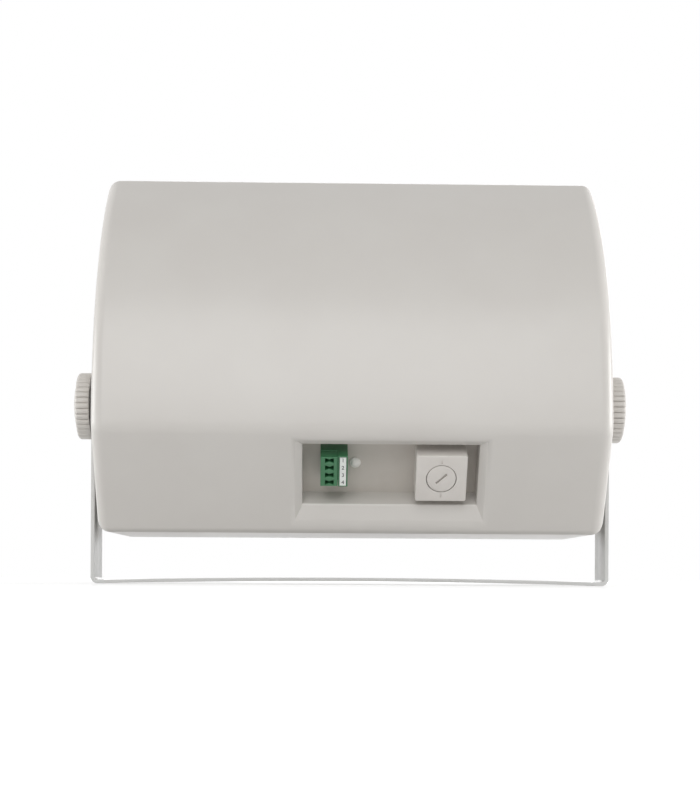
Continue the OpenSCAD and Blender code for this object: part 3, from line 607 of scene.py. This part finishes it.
# %% Cabinet: cutting the recess
mouth_x0, mouth_x1 = RECESS_X0 - BEVEL_SIDE, RECESS_X1 + BEVEL_SIDE
mouth_s0, mouth_s1 = RECESS_S0 - BEVEL_SIDE, RECESS_S1 + BEVEL_LOW
cuts = [(on_panel(x, 0, 0), (1, 0, 0)) for x in (mouth_x0, mouth_x1)]
cuts += [(on_panel(0, s, 0), tuple(PANEL_DOWN)) for s in (mouth_s0, mouth_s1)]
for place, direction in cuts:
    pick("faces", is_panel)
    bpy.ops.mesh.bisect(plane_co=place, plane_no=direction)


def in_mouth(face):
    centre = middle(face)
    return is_panel(face) and mouth_x0 < centre.x < mouth_x1 and mouth_s0 < panel_s(centre) < mouth_s1


print("recess mouth:", pick("faces", in_mouth), "face")
extrude_faces(-PANEL_OUT * BEVEL_DEPTH)
low_face = lambda v: near(height_out(v.co), -BEVEL_DEPTH, 2 * TOUCH)
draws = [
    (lambda v: v.co.x < mouth_x0 + MM, Vector((BEVEL_SIDE, 0, 0))),
    (lambda v: v.co.x > mouth_x1 - MM, Vector((-BEVEL_SIDE, 0, 0))),
    (lambda v: panel_s(v.co) < mouth_s0 + MM, PANEL_DOWN * BEVEL_SIDE),
    (lambda v: panel_s(v.co) > mouth_s1 - MM, -PANEL_DOWN * BEVEL_LOW),
]
for chosen, move in draws:
    pick("verts", lambda v: low_face(v) and chosen(v))
    shift(move)
pick("faces", lambda f: all(low_face(v) for v in f.verts))
extrude_faces(-PANEL_OUT * (RECESS_DEPTH - BEVEL_DEPTH))
bpy.ops.mesh.delete(type="FACE")


# %% Cabinet: softened recess edges
MOUTH_ROUND = 2.2 * MM
LIP_ROUND = 0.6 * MM
INSERT_R = 6.5 * MM
THROUGH = 12 * MM


def in_opening(point):
    return mouth_x0 - MM < point.x < mouth_x1 + MM and mouth_s0 - MM < panel_s(point) < mouth_s1 + MM


def recess_edges(out):
    """A test for the edges round the recess at one height over the panel."""
    return lambda e: all(near(height_out(v.co), out, 2 * TOUCH) for v in e.verts) and in_opening(middle(e))


pick("edges", recess_edges(0))
round_edges(MOUTH_ROUND, 4)
pick("edges", recess_edges(-BEVEL_DEPTH))
round_edges(LIP_ROUND, 3)
tidy_normals()
apply_modifier(shell, "SOLIDIFY", thickness=WALL, offset=-1, use_even_offset=True)
for side in (-1, 1):
    drill(shell, (side * (HALF - 2 * MM), 0, PIVOT.z), (1, 0, 0), INSERT_R, THROUGH)
finish(shell, CABINET, "cabinet", "cabinet_plastic", "rear_shell")
apply_modifier(shell, "WEIGHTED_NORMAL", keep_sharp=True)

# %% [markdown]
# A clamping knob is a fluted drum with a domed face. One ring of points is notched for the flutes, then
# extruded along the axis and drawn in, ring after ring, like turning on a lathe. On the dome the notches are
# eased out again, as the real flutes run out there. The second knob is a mirrored copy.

# %% Knobs
KNOB_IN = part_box("right_knob")[0].x
KNOB_R = 21.5 * MM
KNOB_H = 12.2 * MM
FLUTES = 36
PER_FLUTE = 8
START_H = 0.5 * MM
START_R = KNOB_R - 0.8 * MM
SHOULDER = KNOB_H - 4.8 * MM
SHOULDER_R = 2 * MM
DOME_RISE = 3.2 * MM
# How deep each point across a notch lies, by its place counted from the notch's middle.
FLUTE_DEPTHS = {0: 1.3 * MM, 1: 0.26 * MM, 2: 0.04 * MM}
# The share of that depth which is left at two rings of the dome. Nearer to its middle the dome is plain.
EASED = {17.4 * MM: 0.55, 16 * MM: 0.0}


def flute_place(v):
    """Which of the points across a rib a point is, counted from the notch."""
    turn_share = math.atan2(v.co.z - PIVOT.z, v.co.y) / (2 * math.pi)
    i = round(turn_share * FLUTES * PER_FLUTE) % PER_FLUTE
    return min(i, PER_FLUTE - i)


def scale_ring(x, factor, only=None):
    """Draws the ring of points at x in or out round the knob's axis."""
    pick("verts", lambda v: near(v.co.x, x, HAIR) and (only is None or flute_place(v) == only))
    scale_about((1, factor, factor), (x, 0, PIVOT.z))


def add_ring(x, height, r, new_height, new_r):
    """Extrudes the last ring to a new height and radius, and returns its place."""
    pick("edges", lambda e: all(near(v.co.x, x, HAIR) for v in e.verts))
    extrude_edges((new_height - height, 0, 0))
    scale_ring(x + new_height - height, new_r / r)
    return x + new_height - height


# %% Knobs: the turned body
# The rings of the side, the rounded shoulder and the dome, as height over the knob's back and radius.
profile = [(1.3 * MM, KNOB_R), (SHOULDER, KNOB_R)]
for a in (18, 36, 54, 72):
    profile.append((SHOULDER + SHOULDER_R * sin(radians(a)), KNOB_R - SHOULDER_R * (1 - cos(radians(a)))))
dome_r = ((KNOB_R - SHOULDER_R) ** 2 + DOME_RISE**2) / (2 * DOME_RISE)
for k in (18.4, 17.4, 16, 13, 9, 5, 2):
    profile.append((KNOB_H - dome_r + math.sqrt(dome_r**2 - (k * MM) ** 2), k * MM))

rest_hands()
place, height, r = KNOB_IN + START_H, START_H, START_R
bpy.ops.mesh.primitive_circle_add(vertices=FLUTES * PER_FLUTE, radius=KNOB_R, rotation=(0, radians(90), 0),
                                  location=(place, 0, PIVOT.z))
knob = begin("right_clamping_knob")
for step, depth in FLUTE_DEPTHS.items():
    scale_ring(place, 1 - depth / KNOB_R, step)
scale_ring(place, START_R / KNOB_R)
left = 1
for new_height, new_r in profile:
    place = add_ring(place, height, r, new_height, new_r)
    if new_r in EASED:
        for step, depth in FLUTE_DEPTHS.items():
            scale_ring(place, (1 - EASED[new_r] * depth / KNOB_R) / (1 - left * depth / KNOB_R), step)
        left = EASED[new_r]
    height, r = new_height, new_r
pick("verts", lambda v: near(v.co.x, place, HAIR))
bpy.ops.mesh.merge(type="CENTER")
print("knob turned over", len(profile), "rings with", FLUTES, "flutes")


# %% Knobs: the dished back
def from_axis(v):
    """How far a point lies from the knob's axis."""
    return Vector((v.co.y, v.co.z - PIVOT.z)).length


BORE_R = 4 * MM
# The rings of the lip, the dish, the seat of the steel washer and the bore for the stud.
back = [(1.25 * MM, 19.1 * MM), (1.2 * MM, 13 * MM), (0.05 * MM, 11 * MM), (0.0, BORE_R), (8 * MM, 3.9 * MM)]
place, height, r = KNOB_IN + START_H, START_H, START_R
for new_height, new_r in back:
    back_ring = lambda v: near(v.co.x, place, HAIR) and from_axis(v) < r + TOUCH
    pick("edges", lambda e: all(back_ring(v) for v in e.verts))
    extrude_edges((new_height - height, 0, 0))
    scale_about((1, new_r / r, new_r / r), (place, 0, PIVOT.z))
    place, height, r = place + new_height - height, new_height, new_r
pick("verts", lambda v: back_ring(v) or from_axis(v) < BORE_R + 0.2 * MM and near(v.co.x, place, MM))
bpy.ops.mesh.merge(type="CENTER")
tidy_normals()
finish(knob, KNOB, "right_knob", "knob_plastic", "right_knob", angle=50)

# %% Knobs: the mirrored copy
rest_hands()
other = knob.copy()
other.data = knob.data.copy()
other.parent = None
bpy.context.collection.objects.link(other)
bpy.context.view_layer.objects.active = other
other.select_set(True)
other.scale = (-1, 1, 1)
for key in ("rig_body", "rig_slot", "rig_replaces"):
    del other[key]
begin("left_clamping_knob")
tidy_normals()
finish(other, KNOB, "left_knob", "knob_plastic", "left_knob", angle=50)

# %% [markdown]
# The bracket is one flat bar bent twice. Its inner face is drawn first, as the bender sees it: down one leg,
# round the bend, along the strap, which bows up a little in the middle, and up the other leg to its round
# end. Solidify then gives the bar its thickness outwards, and a small bevel breaks the sheared edges.

# %% Bracket
bracket_low, bracket_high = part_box("bracket")
STRAP_T = 2.3 * MM
LEG_IN = bracket_high.x - STRAP_T
LEG_R = bracket_high.y
BEND_R = 2 * MM
BOW = 2.2 * MM
bend_x = LEG_IN - BEND_R
bend_z = bracket_low.z + STRAP_T + BEND_R
bow_r = (bend_x**2 + BOW**2) / (2 * BOW)
bow_turn = 2 * math.asin(bend_x / bow_r)
BEND_STEPS = 6
BOW_STEPS = 28
LEG_STEPS = 14
BOLT_X = 50 * MM
BOLT_R = 3.25 * MM
MIDDLE_R = 5.25 * MM
STUD_HOLE_R = 4.3 * MM
SHEARED = 0.35 * MM
print("the strap bows to a radius of", round(bow_r / MM), "mm")

# %% Bracket: bending and boring
rest_hands()
bpy.ops.mesh.primitive_plane_add(size=2 * LEG_R, location=(-LEG_IN + LEG_R, 0, PIVOT.z))
bracket = begin("u_bracket")
pick("verts", lambda v: v.co.x > -LEG_IN + LEG_R)
bpy.ops.mesh.delete(type="VERT")
bpy.ops.mesh.select_all(action="SELECT")
extrude_edges((0, 0, bend_z - PIVOT.z))
bpy.ops.mesh.spin(steps=BEND_STEPS, angle=radians(90), center=(-bend_x, 0, bend_z), axis=(0, 1, 0))
bpy.ops.mesh.spin(steps=BOW_STEPS, angle=-bow_turn, center=(0, 0, STRAP_T - bow_r), axis=(0, 1, 0))
bpy.ops.mesh.spin(steps=BEND_STEPS, angle=radians(90), center=(bend_x, 0, bend_z), axis=(0, 1, 0))
extrude_edges((0, 0, PIVOT.z - bend_z))
for side in (-1, 1):
    for k in range(LEG_STEPS):
        a, b = (radians(90) * i / LEG_STEPS for i in (k, k + 1))
        top = PIVOT.z + LEG_R * sin(a)
        at_end = lambda v: near(v.co.z, top, HAIR) and v.co.x * side > 0
        pick("edges", lambda e: e.is_boundary and all(at_end(v) for v in e.verts))
        extrude_edges((0, 0, LEG_R * (sin(b) - sin(a))))
        scale_about((1, max(cos(b), 0.01) / cos(a), 1), (side * LEG_IN, 0, 0))
tidy_normals()
mesh = bmesh.from_edit_mesh(bracket.data)
strap_faces = [f for f in mesh.faces if abs(middle(f).x) < 20 * MM]
if sum(f.normal.z for f in strap_faces) > 0:
    bpy.ops.mesh.flip_normals()
apply_modifier(bracket, "SOLIDIFY", thickness=STRAP_T, offset=1, use_even_offset=True)
for x, r in ((-BOLT_X, BOLT_R), (0, MIDDLE_R), (BOLT_X, BOLT_R)):
    drill(bracket, (x, 0, STRAP_T / 2), (0, 0, 1), r, THROUGH)
for side in (-1, 1):
    drill(bracket, (side * LEG_IN, 0, PIVOT.z), (1, 0, 0), STUD_HOLE_R, THROUGH)
apply_modifier(bracket, "BEVEL", width=SHEARED, segments=2, limit_method="ANGLE", angle_limit=radians(40))
finish(bracket, BRACKET, "bracket", "bracket_paint", "bracket")
spans = [round((b - a) / MM, 1) for a, b in zip(bracket.bound_box[0], bracket.bound_box[6])]
print("bracket spans in mm:", spans)

# %% [markdown]
# The pieces of the recess are modelled flat, with the panel as the ground, and then laid onto the tilted
# panel. Flat work keeps every bevel and every extrusion square to the panel.

# %% The panel as a ground to model on
PANEL_FRAME = Matrix((
    (1, 0, 0, 0),
    (0, -PANEL_DOWN.y, PANEL_OUT.y, RIDGE.y),
    (0, -PANEL_DOWN.z, PANEL_OUT.z, RIDGE.z),
    (0, 0, 0, 1),
))
FLOOR = -RECESS_DEPTH


def flat_block(name, x0, x1, s0, s1, z0, z1):
    """A block on the flat panel, open in edit mode, to be shaped further."""
    rest_hands()
    bpy.ops.mesh.primitive_cube_add(size=1, location=((x0 + x1) / 2, -(s0 + s1) / 2, (z0 + z1) / 2),
                                    scale=(x1 - x0, s1 - s0, z1 - z0))
    return begin(name)


def lay_on_panel(piece):
    """Turns a flat-modelled piece onto the tilted panel, with its place kept in its mesh."""
    rest_hands()
    piece.matrix_world = PANEL_FRAME
    bpy.context.view_layer.objects.active = piece
    piece.select_set(True)
    bpy.ops.object.transform_apply(location=True, rotation=True, scale=True)


def split(test, places, axis):
    """Bisects the picked faces at several places along an axis."""
    normal = Vector((axis == "x", axis == "y", axis == "z"))
    for place in places:
        pick("faces", test)
        bpy.ops.mesh.bisect(plane_co=tuple(normal * place), plane_no=tuple(normal))


print("recess floor", round(RECESS_DEPTH / MM, 1), "mm under the panel")

# %% [markdown]
# The pluggable terminal: a plug with one wire opening for each pole. The openings are marked by bisections,
# pinched at their middle, where the clamp's jaws show, and pushed in. The rims are broken by a small bevel.

# %% Terminal plug
POLES = 4
PITCH = 5.08 * MM
TERM_X = -11.2 * MM
TERM_S = 31.3 * MM
PLUG_W = 10.7 * MM
STRIP_W = 6.2 * MM
TERM_TOP = FLOOR + 17 * MM
DECK = FLOOR + 8.4 * MM
PLUG_X = TERM_X - (PLUG_W + STRIP_W) / 2
STRIP_X = PLUG_X + PLUG_W
TERM_S0 = TERM_S - POLES * PITCH / 2
HOLE_X0 = PLUG_X + 2.9 * MM
HOLE_X1 = PLUG_X + 8.2 * MM
HOLE_MID = (HOLE_X0 + HOLE_X1) / 2
HOLE_HALF = 1.75 * MM
HOLE_DEPTH = 5.5 * MM
PINCH = 0.4
pole_s = [TERM_S0 + (i + 0.5) * PITCH for i in range(POLES)]
print("poles at", [round(s / MM, 2) for s in pole_s], "mm down the panel")

# %% Terminal plug: shaping
plug = flat_block("wire_terminal_plug", PLUG_X, STRIP_X, TERM_S0, TERM_S0 + POLES * PITCH, DECK, TERM_TOP)
on_top = lambda f: f.normal.z > 0.9 and near(middle(f).z, TERM_TOP)
split(on_top, [HOLE_X0, HOLE_MID, HOLE_X1], "x")
split(on_top, [-s + k * HOLE_HALF for s in pole_s for k in (-1, 1)], "y")
for s in pole_s:
    on_side = lambda v: near(v.co.x, HOLE_MID) and near(abs(v.co.y + s), HOLE_HALF)
    pick("verts", lambda v: on_side(v) and near(v.co.z, TERM_TOP))
    scale_about((1, PINCH, 1), (0, -s, TERM_TOP))


def in_hole(f):
    """Whether a face of the plug's top lies in one of the wire openings."""
    off_pole = min(abs(middle(f).y + s) for s in pole_s)
    return on_top(f) and HOLE_X0 < middle(f).x < HOLE_X1 and off_pole < HOLE_HALF * 0.6


print("faces of the wire openings:", pick("faces", in_hole))
extrude_faces((0, 0, -HOLE_DEPTH))
pick("edges", lambda e: e.calc_face_angle(0) > radians(80) and all(near(v.co.z, TERM_TOP) for v in e.verts))
round_edges(0.22 * MM, 2)
lay_on_panel(plug)
finish(plug, TERMINAL, "terminal_plug", "terminal_green", "terminal_plug", angle=40)

# %% [markdown]
# The socket under the plug has a side wall that carries the marking strip. It is one block: the wall is
# extruded up from one end of its top, and a shallow tray for the strip is inset into the wall.

# %% Terminal socket and marking strip
CHEEK = 0.4 * MM
RIM_W = 0.75 * MM
TRAY_DEPTH = 0.8 * MM
WALL_TOP = TERM_TOP - 0.4 * MM
WALL_X = STRIP_X + 0.3 * MM
socket_s0, socket_s1 = TERM_S0 - CHEEK, TERM_S0 + POLES * PITCH + CHEEK
socket = flat_block("wire_terminal_socket", PLUG_X, STRIP_X + STRIP_W, socket_s0, socket_s1, FLOOR, DECK)
deck_face = lambda f: f.normal.z > 0.9 and near(middle(f).z, DECK)
split(deck_face, [WALL_X], "x")
pick("faces", lambda f: deck_face(f) and middle(f).x > WALL_X)
extrude_faces((0, 0, WALL_TOP - DECK))
pick("faces", lambda f: f.normal.z > 0.9 and middle(f).z > WALL_TOP - TOUCH)
bpy.ops.mesh.inset(thickness=RIM_W, depth=0)
extrude_faces((0, 0, -TRAY_DEPTH))
pick("edges", lambda e: e.calc_face_angle(0) > radians(60))
round_edges(0.15 * MM, 2)
lay_on_panel(socket)
finish(socket, TERMINAL, "cabinet", "terminal_green", "terminal_socket", angle=40)

FIELD_SINK = 0.22 * MM
strip = flat_block("marking_strip_fields", STRIP_X + 1.25 * MM, STRIP_X + STRIP_W - 0.95 * MM,
                   TERM_S0 + 0.5 * MM, TERM_S0 + POLES * PITCH - 0.5 * MM, WALL_TOP - 0.75 * MM, TERM_TOP)
field = lambda f: f.normal.z > 0.9 and near(middle(f).z, TERM_TOP)
split(field, [-(TERM_S0 + i * PITCH) for i in range(1, POLES)], "y")
pick("faces", field)
bpy.ops.mesh.inset(thickness=0.18 * MM, depth=-FIELD_SINK, use_individual=True)
lay_on_panel(strip)
finish(strip, STRIP, "cabinet", "label_white", "marking_strip", angle=30)

# %% [markdown]
# The strip is printed with the number of each pole. A number is made as text, turned into a mesh a few
# hundredths of a millimetre thick, and all four are joined into one piece of print.

# %% Pole numbers
NUMBER_X = STRIP_X + STRIP_W / 2 + 0.15 * MM
NUMBER_SIZE = 3.6 * MM
INK_T = 0.04 * MM
rest_hands()
numbers = []
for i, s in enumerate(pole_s):
    bpy.ops.object.text_add(location=(NUMBER_X, -s, TERM_TOP - FIELD_SINK))
    number = bpy.context.object
    number.data.body = str(i + 1)
    number.data.size = NUMBER_SIZE
    number.data.extrude = INK_T
    number.data.align_x = "CENTER"
    number.data.align_y = "CENTER"
    bpy.ops.object.convert(target="MESH")
    numbers.append(bpy.context.object)
    rest_hands()
for number in numbers:
    number.select_set(True)
bpy.context.view_layer.objects.active = numbers[0]
bpy.ops.object.join()
print_piece = begin("pole_numbers")
bpy.ops.mesh.select_all(action="SELECT")
bpy.ops.mesh.remove_doubles(threshold=HAIR)
tidy_normals()
lay_on_panel(print_piece)
finish(print_piece, INK, "cabinet", "black_plastic", angle=30)

# %% [markdown]
# A round button-headed screw beside the terminal and the square housing of the tap selector. A narrow gap
# runs round the selector's dial and shows as a thin shadow on one side, and the dial's slot takes a
# screwdriver.

# %% Selector housing
SEL_SIDE = 31.6 * MM
SEL_X = 55.3 * MM
SEL_S = 34.2 * MM
SEL_TOP = FLOOR + 20 * MM
DIAL_R = 9 * MM
DIAL_GAP = 0.5 * MM
DIAL_POCKET = 6 * MM
TICK_R = 11.6 * MM
TICK_W = 0.9 * MM
TICK_LEN = 2.6 * MM
TICK_DEPTH = 0.7 * MM

housing = flat_block("tap_selector_housing", SEL_X - SEL_SIDE / 2, SEL_X + SEL_SIDE / 2, SEL_S - SEL_SIDE / 2,
                     SEL_S + SEL_SIDE / 2, FLOOR, SEL_TOP)
pick("edges", lambda e: abs((e.verts[0].co - e.verts[1].co).normalized().z) > 0.9)
round_edges(1.2 * MM, 4)
pick("edges", lambda e: all(near(v.co.z, SEL_TOP) for v in e.verts))
round_edges(0.5 * MM, 3)
drill(housing, (SEL_X, -SEL_S, SEL_TOP), (0, 0, 1), DIAL_R + DIAL_GAP, DIAL_POCKET, 96)
for a in (90, 270):
    rest_hands()
    at = Vector((SEL_X + TICK_R * cos(radians(a)), -SEL_S + TICK_R * sin(radians(a)), SEL_TOP))
    bpy.ops.mesh.primitive_cube_add(size=1, location=at, scale=(TICK_W, TICK_LEN, 2 * TICK_DEPTH))
    tick = bpy.context.object
    bpy.ops.object.transform_apply(location=True, rotation=True, scale=True)
    apply_modifier(housing, "BOOLEAN", operation="DIFFERENCE", object=tick, solver="EXACT")
    bpy.data.objects.remove(tick)
lay_on_panel(housing)
finish(housing, SELECTOR, "cabinet", "selector_plastic", "selector_housing", angle=30)

# %% Selector dial
DIAL_TOP = SEL_TOP + 0.1 * MM
DIAL_H = 3.2 * MM
SLOT_LEN = 9 * MM
SLOT_W = 1.5 * MM
SLOT_DEPTH = 1.7 * MM
rest_hands()
bpy.ops.mesh.primitive_cylinder_add(vertices=96, radius=DIAL_R, depth=DIAL_H,
                                    location=(SEL_X, -SEL_S, DIAL_TOP - DIAL_H / 2))
dial = begin("tap_selector_dial")
pick("edges", lambda e: all(v.co.z > DIAL_TOP - TOUCH for v in e.verts))
round_edges(0.35 * MM, 3)
rest_hands()
bpy.ops.mesh.primitive_cube_add(size=1, location=(SEL_X, -SEL_S, DIAL_TOP), rotation=(0, 0, radians(45)),
                                scale=(SLOT_LEN, SLOT_W, 2 * SLOT_DEPTH))
slot_tool = bpy.context.object
bpy.ops.object.transform_apply(location=True, rotation=True, scale=True)
apply_modifier(dial, "BOOLEAN", operation="DIFFERENCE", object=slot_tool, solver="EXACT")
bpy.data.objects.remove(slot_tool)
lay_on_panel(dial)
finish(dial, SELECTOR, "selector_dial", "selector_plastic", "selector_dial", angle=30)

# %% Button-headed screw
BUTTON_R = 3.5 * MM
BUTTON_X = 2.2 * MM
BUTTON_S = 33.4 * MM
# Each ring of the head: its rise over the last one in millimetres, and its radius as a share of the last one.
BUTTON_RINGS = ((0.7, 1.0), (0.35, 0.93), (0.05, 0.86), (0.55, 0.86), (0.35, 0.6), (0.1, 0.3))
rest_hands()
bpy.ops.mesh.primitive_circle_add(vertices=48, radius=BUTTON_R, location=(BUTTON_X, -BUTTON_S, FLOOR))
button = begin("button_headed_screw")
bpy.ops.mesh.select_all(action="SELECT")
for rise, factor in BUTTON_RINGS:
    extrude_edges((0, 0, rise * MM))
    scale_about((factor, factor, 1), (BUTTON_X, -BUTTON_S, 0))
bpy.ops.mesh.edge_face_add()
pick("edges", lambda e: e.is_boundary)
bpy.ops.mesh.edge_face_add()
tidy_normals()
lay_on_panel(button)
finish(button, BUTTON, "cabinet", "button_white", "plate_button", angle=40)

# %% [markdown]
# The stage. The floor is matt white with a faint polish, so it keeps the object's shadow and a pale
# reflection. It glows a little to the camera, more so further out where the lamps hardly reach, so that it
# meets the white surroundings without a line. The light that falls on the object stays at the level at which
# a colour renders about as written.

# %% Floor
FLOOR_SIZE = 8
FLOOR_GLOW = 0.42
FAR_GLOW = 1.1
GLOW_FROM, GLOW_TO = 0.3, 1.1
POLISH_SHARE = 0.16
POLISH_ROUGHNESS = 0.06


def in_picture(owner, *kinds):
    """One on the kinds of light path that carry a picture to the eye, and zero on the others."""
    path = add(owner, "ShaderNodeLightPath")
    value = path.outputs[kinds[0]]
    for kind in kinds[1:]:
        either = add(owner, "ShaderNodeMath", {0: value, 1: path.outputs[kind]}, operation="MAXIMUM")
        value = either.outputs[0]
    return value


rest_hands()
bpy.ops.mesh.primitive_plane_add(size=FLOOR_SIZE, location=(0, 0, bracket_low.z - 0.05 * MM))
floor = bpy.context.object
floor.name = "floor"
paper = new_material("white_paper_floor")
seen = in_picture(paper, "Is Camera Ray", "Is Glossy Ray")
place_on = add(paper, "ShaderNodeTexCoord").outputs["Object"]
spot = add(paper, "ShaderNodeVectorMath", {0: place_on}, operation="LENGTH").outputs["Value"]
glow = add(paper, "ShaderNodeMapRange", {"Value": spot, "From Min": GLOW_FROM, "From Max": GLOW_TO,
                                         "To Min": FLOOR_GLOW, "To Max": FAR_GLOW}).outputs["Result"]
glow = add(paper, "ShaderNodeMath", {0: seen, 1: glow}, operation="MULTIPLY").outputs[0]
matt = add(paper, "ShaderNodeBsdfDiffuse", {"Color": rgb("#e4e4e4")})
glow = add(paper, "ShaderNodeEmission", {"Color": rgb("#ffffff"), "Strength": glow})
lit = add(paper, "ShaderNodeAddShader", {0: matt.outputs[0], 1: glow.outputs[0]})
polish = add(paper, "ShaderNodeBsdfGlossy", {"Color": rgb("#ffffff"), "Roughness": POLISH_ROUGHNESS})
surface = add(paper, "ShaderNodeMixShader", {0: POLISH_SHARE, 1: lit.outputs[0], 2: polish.outputs[0]})
add(paper, "ShaderNodeOutputMaterial", {"Surface": surface.outputs[0]})
floor.data.materials.append(paper)
print("floor at", round(floor.location.z / MM, 2), "mm")

# %% World
WORLD_LIGHT = 0.34
world = bpy.data.worlds.new("studio")
bpy.context.scene.world = world
world.use_nodes = True
world.node_tree.nodes.clear()
direct = in_picture(world, "Is Camera Ray", "Is Glossy Ray", "Is Transmission Ray")
level = add(world, "ShaderNodeMapRange", {"Value": direct, "To Min": WORLD_LIGHT, "To Max": 1.0})
sky = add(world, "ShaderNodeBackground", {"Color": rgb("#ffffff"), "Strength": level.outputs["Result"]})
add(world, "ShaderNodeOutputWorld", {"Surface": sky.outputs[0]})
print("the world lights the object at", WORLD_LIGHT, "of its white")

# %% [markdown]
# The lamps. A large softbox above and behind the camera is the key: it comes from high up, so the undercut
# panel stays darker than the bowed back. One at each side draws the legs and the knobs out of the white, and
# a weak one lights the grille's side.


# %% Lamps
def softbox(name, place, aim, size, watts):
    """A square soft light that faces a point."""
    lamp = bpy.data.objects.new(name, bpy.data.lights.new(name, "AREA"))
    lamp.data.shape = "SQUARE"
    lamp.data.size = size
    lamp.data.energy = watts
    facing = (Vector(place) - Vector(aim)).to_track_quat("Z", "Y")
    lamp.matrix_world = Matrix.Translation(place) @ facing.to_matrix().to_4x4()
    bpy.context.collection.objects.link(lamp)


AIM = (0, -0.03, 0.14)
softbox("upper_softbox", (-0.15, -1.7, 1.12), AIM, 1.4, 17)
softbox("left_softbox", (-1.5, 0.1, 0.2), AIM, 0.9, 13)
softbox("right_softbox", (1.5, 0.05, 0.2), AIM, 0.9, 17)
softbox("grille_softbox", (0.4, 1.8, 0.8), AIM, 1.4, 9)
bpy.context.scene.view_settings.view_transform = "Standard"
